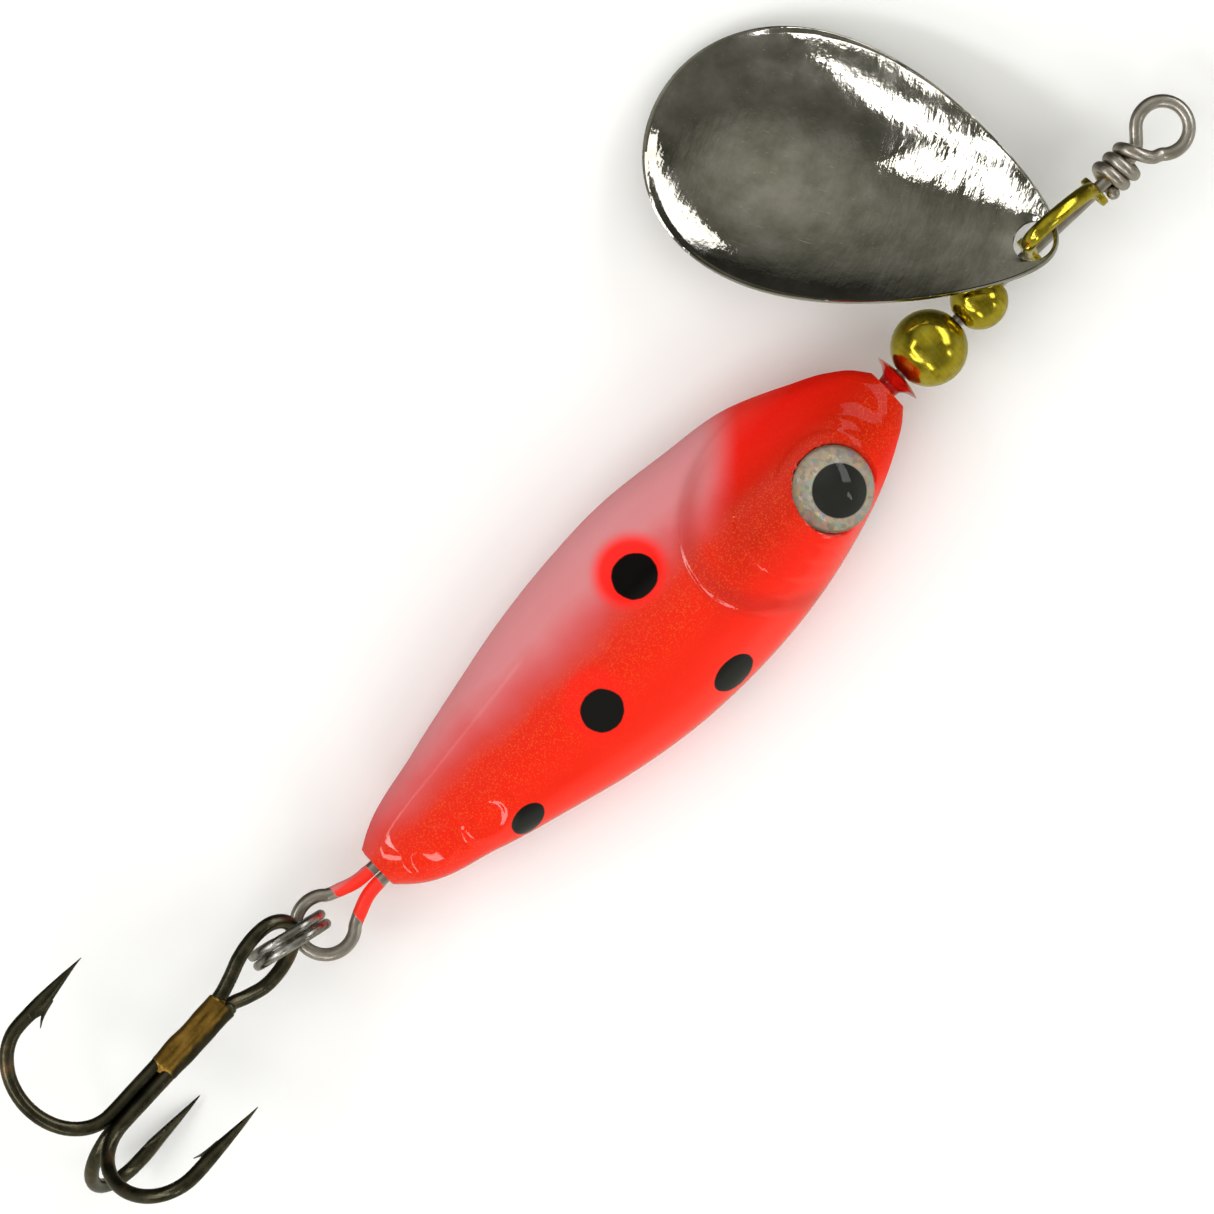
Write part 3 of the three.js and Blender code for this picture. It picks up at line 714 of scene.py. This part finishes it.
def clevis_ear(x):
    """A drilled ear: a thick washer with eased edges."""
    half, ease = EAR_THICKNESS / 2, 0.09
    low, high, corner = x - half, x + half, EAR_R - ease
    rows = [(low, BORE_R + ease), (low, corner)]
    rows += [(low + ease * (1 - math.cos(a)), corner + ease * math.sin(a)) for a in np.linspace(0.3, 1.5, 4)]
    rows += [(high - ease * (1 - math.cos(a)), corner + ease * math.sin(a)) for a in np.linspace(1.5, 0.3, 4)]
    rows += [(high, corner), (high, BORE_R + ease), (high - ease, BORE_R), (low + ease, BORE_R)]
    return lathe(rows, 48)


def clevis():
    """Two ears and the bow between them, leaning towards the fish's back."""
    bow = spline([
        (FRONT_EAR_X - 0.12, 0, EAR_R - 0.08), (FRONT_EAR_X - 0.13, 0, 1.0), (FRONT_EAR_X - 0.18, 0, 1.35),
        (FRONT_EAR_X - 0.45, 0, 1.85), (FRONT_EAR_X - 1.1, 0, 2.5), (FRONT_EAR_X - 2.0, 0, 3.05),
        (FRONT_EAR_X - 2.9, 0, BOW_HEIGHT - 0.08), (REAR_EAR_X + 0.85, 0, BOW_HEIGHT),
        (REAR_EAR_X + 0.3, 0, BOW_HEIGHT - 0.3), (REAR_EAR_X + 0.03, 0, BOW_HEIGHT - 0.85),
        (REAR_EAR_X, 0, 2.1), (REAR_EAR_X, 0, 1.4), (REAR_EAR_X, 0, EAR_R - 0.08),
    ], 8)
    flare = 1 + 0.12 * smoothstep(-bow[:, 2], -1.5, -0.7)
    rings = tube(bow, BOW_HALF_WIDTH * flare, 24, BOW_HALF_THICKNESS / BOW_HALF_WIDTH, across=(0, 1, 0))
    whole = joined(skin(rings), clevis_ear(FRONT_EAR_X), clevis_ear(REAR_EAR_X))
    return turned(whole, rotation(-CLEVIS_ROLL, 0, 0))


def blade_half_width(angle):
    """Half width where the angle runs from 0 at the tip to half a turn at the far end."""
    c = np.cos(angle)
    return np.sin(angle) * (6.68 - 2.32 * c - 0.35 * c * c)


WIDEST = float(blade_half_width(math.acos(-0.18)))


def blade_dish(along, across):
    """Height of the bowl's middle surface: 0 at the outline, deepest where the blade is widest."""
    share = np.clip(along / BLADE_LENGTH, 0, 1)
    half_width = blade_half_width(np.arccos(1 - 2 * share))
    return -BLADE_DISH * (half_width**2 - across**2) / WIDEST**2


def blade_ring(share, angle, side):
    """Points of the blade's face at one share of the way from the hole to the outline."""
    hole = (BLADE_HOLE_FROM_TIP - BLADE_HOLE_R * np.cos(angle), BLADE_HOLE_R * np.sin(angle))
    signed = np.where(angle > math.pi, angle - 2 * math.pi, angle)
    edge = (BLADE_LENGTH / 2 * (1 - np.cos(angle)), np.sign(signed) * blade_half_width(np.abs(signed)))
    along = hole[0] + (edge[0] - hole[0]) * share
    across = hole[1] + (edge[1] - hole[1]) * share
    return along, across, blade_dish(along, across) + side * BLADE_THICKNESS / 2


def blade():
    """Dished sheet with a hole and a narrow coined rim, thinned at its edges."""
    angle = np.linspace(0, 2 * math.pi, 200, endpoint=False)
    half_width = blade_half_width(np.minimum(angle, 2 * math.pi - angle))
    reach = np.hypot(BLADE_LENGTH / 2 * (1 - np.cos(angle)) - BLADE_HOLE_FROM_TIP, half_width)
    shares = [*np.linspace(0, 0.93, 34), 0.945, 0.955, 0.965, 0.975, 0.985, 0.993, 1.0]
    faces = []
    for side in (1, -1):
        rows = []
        for share in shares:
            along, across, height = blade_ring(np.full_like(angle, share), angle, side)
            from_edge = (1 - share) * reach
            rim = RIM_HEIGHT * (1 - smoothstep(from_edge, RIM_WIDTH - 0.1, RIM_WIDTH + 0.1))
            eased = 0.1 * (1 - smoothstep(from_edge, 0, 0.12))
            eased += 0.1 * (1 - smoothstep(share * reach, 0, 0.12))
            rows.append(np.column_stack([along, across, height + side * (rim - eased)]))
        faces.append(rows if side == 1 else rows[::-1])
    part = skin(np.array([*faces[0], *faces[1]]), closed=True)
    leg = np.array([*LEG_IN_BLADE, float(blade_dish(np.array(LEG_IN_BLADE[0]), np.array(LEG_IN_BLADE[1])))])
    hang = (REAR_EAR_X, LEG_HEIGHT * math.sin(CLEVIS_ROLL), LEG_HEIGHT * math.cos(CLEVIS_ROLL))
    return turned((part[0] - leg, part[1]), rotation(BLADE_ROLL, BLADE_TILT, BLADE_HEADING), hang)


# ---- beads and sleeve ----


def bead(x, radius):
    """A turned ball with a countersunk bore."""
    start = math.asin((BORE_R + COUNTERSINK) / radius)
    ball = [(x + radius * math.cos(a), radius * math.sin(a)) for a in np.linspace(start, math.pi - start, 48)]
    inset = radius * math.cos(start) - 0.1
    return lathe([*ball, (x - inset, BORE_R), (x + inset, BORE_R)])


def sleeve_cup():
    """The flared cup at the body's nose and the tube behind it."""
    flare = spline([
        (CUP_FACE_X - 0.22, 1.42, 0), (CUP_FACE_X - 0.27, 1.3, 0), (CUP_FACE_X - 0.33, 1.12, 0),
        (CUP_FACE_X - 0.45, 0.86, 0), (CUP_FACE_X - 0.62, 0.66, 0), (CUP_FACE_X - 0.9, SLEEVE_R, 0),
    ], 6)
    face = [(CUP_FACE_X + 0.02, BORE_R), (CUP_FACE_X - 0.02, 0.75), (CUP_FACE_X - 0.08, 1.05),
            (CUP_FACE_X - 0.17, 1.36), (CUP_FACE_X - 0.2, 1.45)]
    rows = [*face, *flare[:, :2], (SLEEVE_END_X, SLEEVE_R), (SLEEVE_END_X, BORE_R)]
    return lathe(rows, 64)


# ---- fish body ----

back_line = curve_of(BACK_LINE)
belly_line = curve_of(BELLY_LINE)
flank_line = curve_of(FLANK_LINE)


def flank_height(x, y):
    """Half thickness of the body at a point of its side outline."""
    edge = back_line(x) if y > 0 else belly_line(x)
    share = min(abs(y) / edge, 1)
    return min(float(flank_line(x) * (1 - share**SECTION_POWER) ** (1 / SECTION_POWER)), HALF_THICKNESS)


def eye_axes(side):
    """Centre of one eye on the flank, and its axes as columns: two in the foil's plane, one outward."""
    x, y = EYE
    step = 0.8
    centre = np.array([x, y, side * flank_height(x, y)])
    slope_x = (flank_height(x + step, y) - flank_height(x - step, y)) / (2 * step)
    slope_y = (flank_height(x, y + step) - flank_height(x, y - step)) / (2 * step)
    outward = Vector((-slope_x, -slope_y, side)).normalized()
    turn = Vector((0, 0, 1)).rotation_difference(outward).to_matrix()
    return centre, np.array(turn)


def ridge(distance, width):
    """A soft step down across an edge line: 1 inside it, 0 outside."""
    return 1 - smoothstep(distance, -width, width)


def head_relief(x, y):
    """Millimetres that the head's plates stand above the flank: gill cover, cheek, rims round the eye."""

    def plate(centre, reach, height, width):
        out = np.hypot((x - centre[0]) / reach[0], (y - centre[1]) / reach[1]) - 1
        return height * ridge(out * reach[0], width)

    cheek = plate((-26.0, -1.1), (6.1, 4.6), 0.09, 0.16) + plate((-25.5, -1.6), (5.0, 4.0), 0.15, 0.2)
    cheek += plate((-25.2, -1.7), (3.9, 3.6), 0.11, 0.15)
    cheek = cheek * smoothstep(-y, -1.8, -0.2)
    return cheek + plate(*GILL, 0.16, 0.22) + plate(EYE, (3.0, 3.0), 0.11, 0.15)


def tail_relief(x, y):
    """A fin root near the tail: nested crescents, and behind them a pad that tips towards the tail."""
    reach = np.hypot((x + 49.3) / 1.5, (y + 2.0) / 1.2)
    pad = ridge(np.hypot((x + 52.6) / 1.5, (y + 1.3) / 1.0) - 1, 0.25)
    return 0.12 * ridge(reach - 1, 0.22) - 0.06 * ridge(reach - 0.62, 0.16) + 0.11 * pad * (x + 52.6)


def body_surface():
    """Rings from the tail face to the nose face, with the head's relief and the eye pockets pressed in."""
    count, sides = 380, 232
    share = np.linspace(0, 1, count)
    x = TAIL_X + (NOSE_X - TAIL_X) * (0.75 * share + 0.25 * (1 - np.cos(math.pi * share)) / 2)
    turn = np.linspace(0, 2 * math.pi, sides, endpoint=False)
    up, out = np.sin(turn), np.cos(turn)
    power = 2 / SECTION_POWER
    outline = np.where(up > 0, back_line(x)[:, None], belly_line(x)[:, None])
    y = outline * np.sign(up) * np.abs(up) ** power
    z = flank_line(x)[:, None] * np.sign(out) * np.abs(out) ** power
    z = np.clip(z, -HALF_THICKNESS, HALF_THICKNESS)
    x = np.broadcast_to(x[:, None], y.shape)
    flank = smoothstep(np.abs(z) / flank_line(x), 0.25, 0.75)
    fade = smoothstep(x, TAIL_X + 0.6, TAIL_X + 1.6) * smoothstep(-x, -NOSE_X + 1.2, -NOSE_X + 3.4)
    lift = head_relief(x, y) + tail_relief(x, y)
    z = np.maximum(z + np.sign(z) * lift * flank * fade, -HALF_THICKNESS)
    points = np.stack([x, y, z], axis=-1)
    for side in (1, -1):
        centre, axes = eye_axes(side)
        local = (points - centre) @ axes
        near = ridge(np.hypot(local[..., 0], local[..., 1]) - EYE_POCKET_R, 0.06)
        near = near * (side * points[..., 2] > 0)
        depth = np.minimum(local[..., 2] + EYE_POCKET_DEPTH, 9)
        points = points - (near * depth)[..., None] * axes[:, 2]
    return points


def body_casting():
    """The surface, its end faces, and the way through: a round bore, then the tail's oval socket."""
    surface = body_surface()
    turn = np.linspace(0, 2 * math.pi, surface.shape[1], endpoint=False)
    sine, cosine = np.sin(turn), np.cos(turn)

    def ring(x, y, height, width):
        return np.column_stack([np.full_like(turn, x), y + height * sine, width * cosine])

    def between(a, b, share, x):
        mixed = a * (1 - share) + b * share
        mixed[:, 0] = x
        return mixed

    mouth = ring(TAIL_X, SOCKET_Y, *SOCKET_HALF)
    tail = surface[0].copy()
    rows = [ring(SOCKET_END_X, SOCKET_Y, *SOCKET_HALF), ring(TAIL_X + 0.12, SOCKET_Y, *SOCKET_HALF)]
    rows += [
        between(mouth, tail, s, TAIL_X - d)
        for s, d in ((0.06, 0.0), (0.3, 0.05), (0.6, 0.05), (0.85, 0.0))
    ]
    nose = surface[-1].copy()
    bore = ring(NOSE_X, 0, BODY_BORE_R, BODY_BORE_R)
    end = [
        between(nose, bore, s, NOSE_X + d)
        for s, d in ((0.12, 0.0), (0.4, -0.06), (0.7, -0.12), (0.95, -0.16))
    ]
    end += [ring(x, 0, BODY_BORE_R, BODY_BORE_R) for x in (NOSE_X - 0.3, NOSE_X - 6, SLEEVE_END_X)]
    return skin(np.array([*rows, *surface, *end]), closed=True)


def eye_disc(side):
    """The printed foil, lying in its pocket."""
    centre, axes = eye_axes(side)
    turn = np.linspace(0, 2 * math.pi, 64, endpoint=False)
    low = GAP - EYE_POCKET_DEPTH
    high = low + FOIL_THICKNESS
    rows = [(0.4, low), (1.0, low), (1.0, high), (0.97, high), (0.6, high), (0.2, high)]
    rings = [
        np.column_stack([EYE_R * s * np.cos(turn), EYE_R * s * np.sin(turn), np.full_like(turn, h)])
        for s, h in rows
    ]
    verts, faces = skin(np.array(rings))
    return verts @ axes.T + centre, faces


def eye_dome(side):
    """The clear dome on the foil."""
    centre, axes = eye_axes(side)
    turn = np.linspace(0, 2 * math.pi, 96, endpoint=False)
    low = 2 * GAP - EYE_POCKET_DEPTH + FOIL_THICKNESS
    sphere = (EYE_R**2 + DOME_HEIGHT**2) / (2 * DOME_HEIGHT)
    crown = [
        (sphere * math.sin(a), low + DOME_EDGE + DOME_HEIGHT - sphere * (1 - math.cos(a)))
        for a in np.linspace(math.asin(EYE_R / sphere), 0.03, 24)
    ]
    rows = [(0.5 * EYE_R, low), (0.99 * EYE_R, low), (0.998 * EYE_R, low + 0.05), *crown]
    rings = [np.column_stack([r * np.cos(turn), r * np.sin(turn), np.full_like(turn, h)]) for r, h in rows]
    verts, faces = skin(np.array(rings))
    return verts @ axes.T + centre, faces


# ---- split ring ----


def split_ring():
    """Two coils side by side with one crossover."""
    degrees = np.linspace(*RING_ENDS, 150)
    turn = np.radians(degrees - 90)
    offset = RING_WIRE_R + GAP / 2
    side = offset - 2 * offset * smoothstep(degrees, *RING_CROSSOVER)
    path = np.column_stack([RING_R * np.cos(turn), side, RING_R * np.sin(turn)])
    return turned(skin(tube(path, RING_WIRE_R, 18)), rotation(0, 0, RING_YAW), RING_CENTRE)


# ---- treble hook, worked out along x with its eye towards +X and the shanks parting at x = 0 ----


def beside(along, out, angle, across=0.0):
    """A point beside the treble's axis: along it, out from it at an angle, and across that angle."""
    sine, cosine = math.sin(angle), math.cos(angle)
    return (along, out * cosine - across * sine, out * sine + across * cosine)


def hook_route(angle):
    """From the eye down the shank and round the bend to the start of the point."""
    middle, reach = (SHANK_OFFSET + HOOK_REACH) / 2, (HOOK_REACH - SHANK_OFFSET) / 2
    shank = [beside(a, SHANK_OFFSET, angle) for a in (-0.2, -3, -6.5)]
    bend = [
        beside(-SHANK_LENGTH - HOOK_BEND_HALF * math.sin(t), middle - reach * math.cos(t), angle)
        for t in np.linspace(0, math.pi, 21)
    ]
    return [*shank, *bend, beside(-SHANK_LENGTH + 0.6, HOOK_REACH, angle)]


def hook_point(angle):
    """The spear point: the wire widens, then tapers to the tip, and a cut barb stands off it."""
    stations = [  # along the point, its outer edge, its inner edge, and half its width
        (0.35, 0.37, -0.37, 0.37), (0.75, 0.38, -0.4, 0.37), (1.1, 0.38, -0.5, 0.35),
        (1.5, 0.37, -0.5, 0.31), (2.4, 0.3, -0.34, 0.24), (3.4, 0.2, -0.17, 0.16),
        (4.1, 0.11, -0.05, 0.09), (4.65, 0.04, 0.0, 0.03),
    ]
    turn = np.linspace(0, 2 * math.pi, 20, endpoint=False)
    rings = []
    for along, top, bottom, half in stations:
        middle, reach = (top + bottom) / 2, (top - bottom) / 2
        rings.append([
            beside(along - SHANK_LENGTH, HOOK_REACH + middle + reach * math.cos(t), angle, half * math.sin(t))
            for t in turn
        ])
    barb_line = spline([beside(-SHANK_LENGTH + a, HOOK_REACH + o, angle) for a, o in
                        ((2.0, -0.3), (1.4, -0.48), (1.0, -0.66), (0.62, -0.92))], 5)
    barb = tube(barb_line, np.linspace(0.19, 0.03, len(barb_line)), 12, 0.8)
    return joined(skin(np.array(rings)), skin(barb))


def in_place(part):
    return turned(part, rotation(0, TREBLE_PITCH, TREBLE_YAW), TREBLE_START)


def double_hook():
    """One wire: a hook, up its shank, round the eye, and down to the second hook."""
    upper, lower = DOUBLE_HOOK_ANGLES
    eye = [
        (0.9, 0.76), (2.0, 1.25), (3.2, 1.45), (4.2, 1.3), (4.85, 0.82), (5.1, 0.2),
        (4.9, -0.42), (4.3, -0.98), (3.3, -1.36), (2.1, -1.4), (1.0, -0.98),
    ]
    eye = [beside(along, across, EYE_PLANE_ANGLE, -SHANK_OFFSET / 2) for along, across in eye]
    path = spline([*hook_route(upper)[::-1], *eye, *hook_route(lower)], 5)
    return in_place(joined(skin(tube(path, HOOK_WIRE_R, 20)), hook_point(upper), hook_point(lower)))


def single_hook():
    path = spline(hook_route(SINGLE_HOOK_ANGLE), 5)
    return in_place(joined(skin(tube(path, HOOK_WIRE_R, 20)), hook_point(SINGLE_HOOK_ANGLE)))


def braze():
    """Filler round the three shanks: it follows them with thin skin and bridges the grooves between."""
    turn = np.linspace(0, 2 * math.pi, 72, endpoint=False)
    shanks = [*DOUBLE_HOOK_ANGLES, SINGLE_HOOK_ANGLE]
    rounded = np.zeros_like(turn)
    for angle in shanks:
        apart = turn - angle
        inside = np.maximum((HOOK_WIRE_R + 0.05) ** 2 - (SHANK_OFFSET * np.sin(apart)) ** 2, 0)
        surface = SHANK_OFFSET * np.cos(apart) + np.sqrt(inside)
        rounded = np.maximum(rounded, np.where(np.cos(apart) > 0, surface, 0))
    filled = np.maximum(rounded, 0.66)
    rings = []
    for share in np.linspace(0, 1, 46):
        along = -0.15 - (BRAZE_LENGTH + 0.1) * share
        ends = smoothstep(share, 0, 0.05) * smoothstep(1 - share, 0, 0.08)
        lumps = 0.02 * np.sin(3 * turn + 11 * share) + 0.015 * np.sin(5 * turn - 17 * share)
        reach = 0.2 + (filled + lumps - 0.2) * (0.55 + 0.45 * ends)
        rings.append(np.column_stack([np.full_like(turn, along), reach * np.cos(turn), reach * np.sin(turn)]))
    return in_place(skin(np.array(rings)))


# ---- the object ----


def build_lure():
    """Every piece, on the body that carries it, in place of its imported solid."""
    brass_beads = bright_brass("bead_brass")
    bronze = hook_bronze()
    foil, resin = eye_foil(), clear_resin()
    piece("shaft_wire_drawn", shaft_wire(), drawn_steel(), "shaft", "shaft_wire")
    piece("clevis_formed", clevis(), bright_brass("clevis_brass", 0.4), "clevis", "clevis")
    piece("blade_dished", blade(), plated_blade(), "blade", "blade")
    piece("small_bead_turned", bead(*SMALL_BEAD), brass_beads, "small_bead", "small_bead")
    piece("large_bead_turned", bead(*LARGE_BEAD), brass_beads, "large_bead", "large_bead")
    piece("sleeve_cup_moulded", sleeve_cup(), red_plastic(), "fish_body", "sleeve_cup")
    piece("body_painted", body_casting(), fish_paint(), "fish_body", "body_casting")
    for name, side in (("left", 1), ("right", -1)):
        piece(name + "_eye_print", eye_disc(side), foil, "fish_body", name + "_eye_foil")
        piece(name + "_eye_lens", eye_dome(side), resin, "fish_body", name + "_eye_dome")
    piece("split_ring_coiled", split_ring(), ring_steel(), "split_ring", "split_ring")
    piece("double_hook_bent", double_hook(), bronze, "treble", "treble_double_hook")
    piece("single_hook_bent", single_hook(), bronze, "treble", "treble_single_hook")
    piece("braze_run", braze(), braze_metal(), "treble", "treble_braze")


# ---- studio ----


def floor():
    """A plain sheet of pale paper under the lure."""
    low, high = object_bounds()
    middle = (low + high) / 2
    mesh = bpy.data.meshes.new("floor")
    corners = [
        (middle.x + a * FLOOR_HALF, middle.y + b * FLOOR_HALF, low.z)
        for a, b in ((-1, -1), (1, -1), (1, 1), (-1, 1))
    ]
    mesh.from_pydata(corners, [], [(0, 1, 2, 3)])
    look = Look("floor_paper", Base_Color=(0.96, 0.96, 0.955, 1), Roughness=0.9)
    look.set(Normal=look.bump(look.noise(0.2, 2), 0.02, 0.2))
    mesh.materials.append(look.material)
    obj = bpy.data.objects.new("floor", mesh)
    obj.visible_glossy = False
    bpy.context.scene.collection.objects.link(obj)
    obj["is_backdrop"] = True


def panel(name, spot, turn, size, glow, mirrored=True):
    """A rectangular light under the ceiling, facing down: where it is, as slopes seen from the lure,
    which way its long side points in degrees from +X, its size as slopes, and how bright it looks."""
    data = bpy.data.lights.new(name, "AREA")
    data.shape = "RECTANGLE"
    data.size, data.size_y = (extent * CEILING for extent in size)
    data.energy = glow * math.pi * data.size * data.size_y
    obj = bpy.data.objects.new(name, data)
    middle = Vector(place([*VIEW_CENTRE, 0]))
    obj.location = middle + Vector((spot[0], spot[1], 1)) * CEILING
    obj.rotation_euler = (0, 0, math.radians(turn))
    obj.visible_glossy = mirrored
    bpy.context.scene.collection.objects.link(obj)


def studio_lights():
    """Bright windows that the blade and beads mirror, and wide lights that only the matt surfaces see."""
    panel("overhead", (0, 0), 0, (1.8, 1.8), 0.58, mirrored=False)
    panel("key", (0.5, -0.9), 0, (0.9, 0.9), 2.7, mirrored=False)
    panel("near_strip", (-0.86, 0.2), 112, (1.25, 0.27), 8)
    panel("far_strip", (-1.32, -0.05), 143, (1.0, 0.22), 5)
    panel("far_turn", (-1.66, 0.5), 95, (0.7, 0.22), 5)
    panel("top_strip", (-0.75, 0.95), 4, (0.75, 0.26), 5)
    panel("right_window", (2.3, 0.48), 52, (3.2, 1.0), 3)
    panel("left_bar", (-1.15, -1.42), 67, (1.8, 0.22), 5)
    panel("front_bar", (0.94, -1.38), -71, (2.15, 0.2), 4.5)


def dim_room():
    """Grey surroundings for the metal to mirror: dark overhead, a soft glow on the +X, +Y side above a black
    horizon, and a paler horizon on the -X, -Y side."""
    world = bpy.data.worlds.new("room")
    bpy.context.scene.world = world
    world.use_nodes = True
    tree = world.node_tree
    direction = tree.nodes.new("ShaderNodeTexCoord")

    def ramp(way, low, high, dark, pale):
        dot = tree.nodes.new("ShaderNodeVectorMath")
        dot.operation = "DOT_PRODUCT"
        dot.inputs[1].default_value = way
        tree.links.new(direction.outputs["Generated"], dot.inputs[0])
        made = tree.nodes.new("ShaderNodeMapRange")
        tree.links.new(dot.outputs["Value"], made.inputs["Value"])
        for name, value in (("From Min", low), ("From Max", high), ("To Min", dark), ("To Max", pale)):
            made.inputs[name].default_value = value
        return made.outputs[0]

    def both(operation, a, b):
        made = tree.nodes.new("ShaderNodeMath")
        made.operation = operation
        tree.links.new(a, made.inputs[0])
        tree.links.new(b, made.inputs[1])
        return made.outputs[0]

    walls = both("MULTIPLY", ramp((0, 0, 1), 0.0, 0.4, 1.0, 0.42), ramp((0.6, 0.8, 0), -0.2, 0.8, 0.5, 0.05))
    light = both("ADD", walls, ramp((0.35, 0.55, 0.76), 0.7, 1.0, 0.0, 0.42))
    tree.links.new(light, tree.nodes["Background"].inputs["Strength"])
    tree.nodes["Background"].inputs["Color"].default_value = (1, 1, 0.86, 1)


def camera():
    """Straight down on the flank, from far enough that the perspective is slight."""
    data = bpy.data.cameras.new("camera")
    data.sensor_width = SENSOR
    data.lens = SENSOR * VIEW_DISTANCE / VIEW_WIDTH
    data.clip_start, data.clip_end = 0.01, 10
    obj = bpy.data.objects.new("camera", data)
    obj.location = place([*VIEW_CENTRE, VIEW_DISTANCE])
    obj.rotation_euler = (0, 0, VIEW_ROLL)
    bpy.context.scene.collection.objects.link(obj)
    bpy.context.scene.camera = obj
    bpy.context.scene.view_settings.view_transform = "Standard"


build_lure()
floor()
studio_lights()
dim_room()
camera()
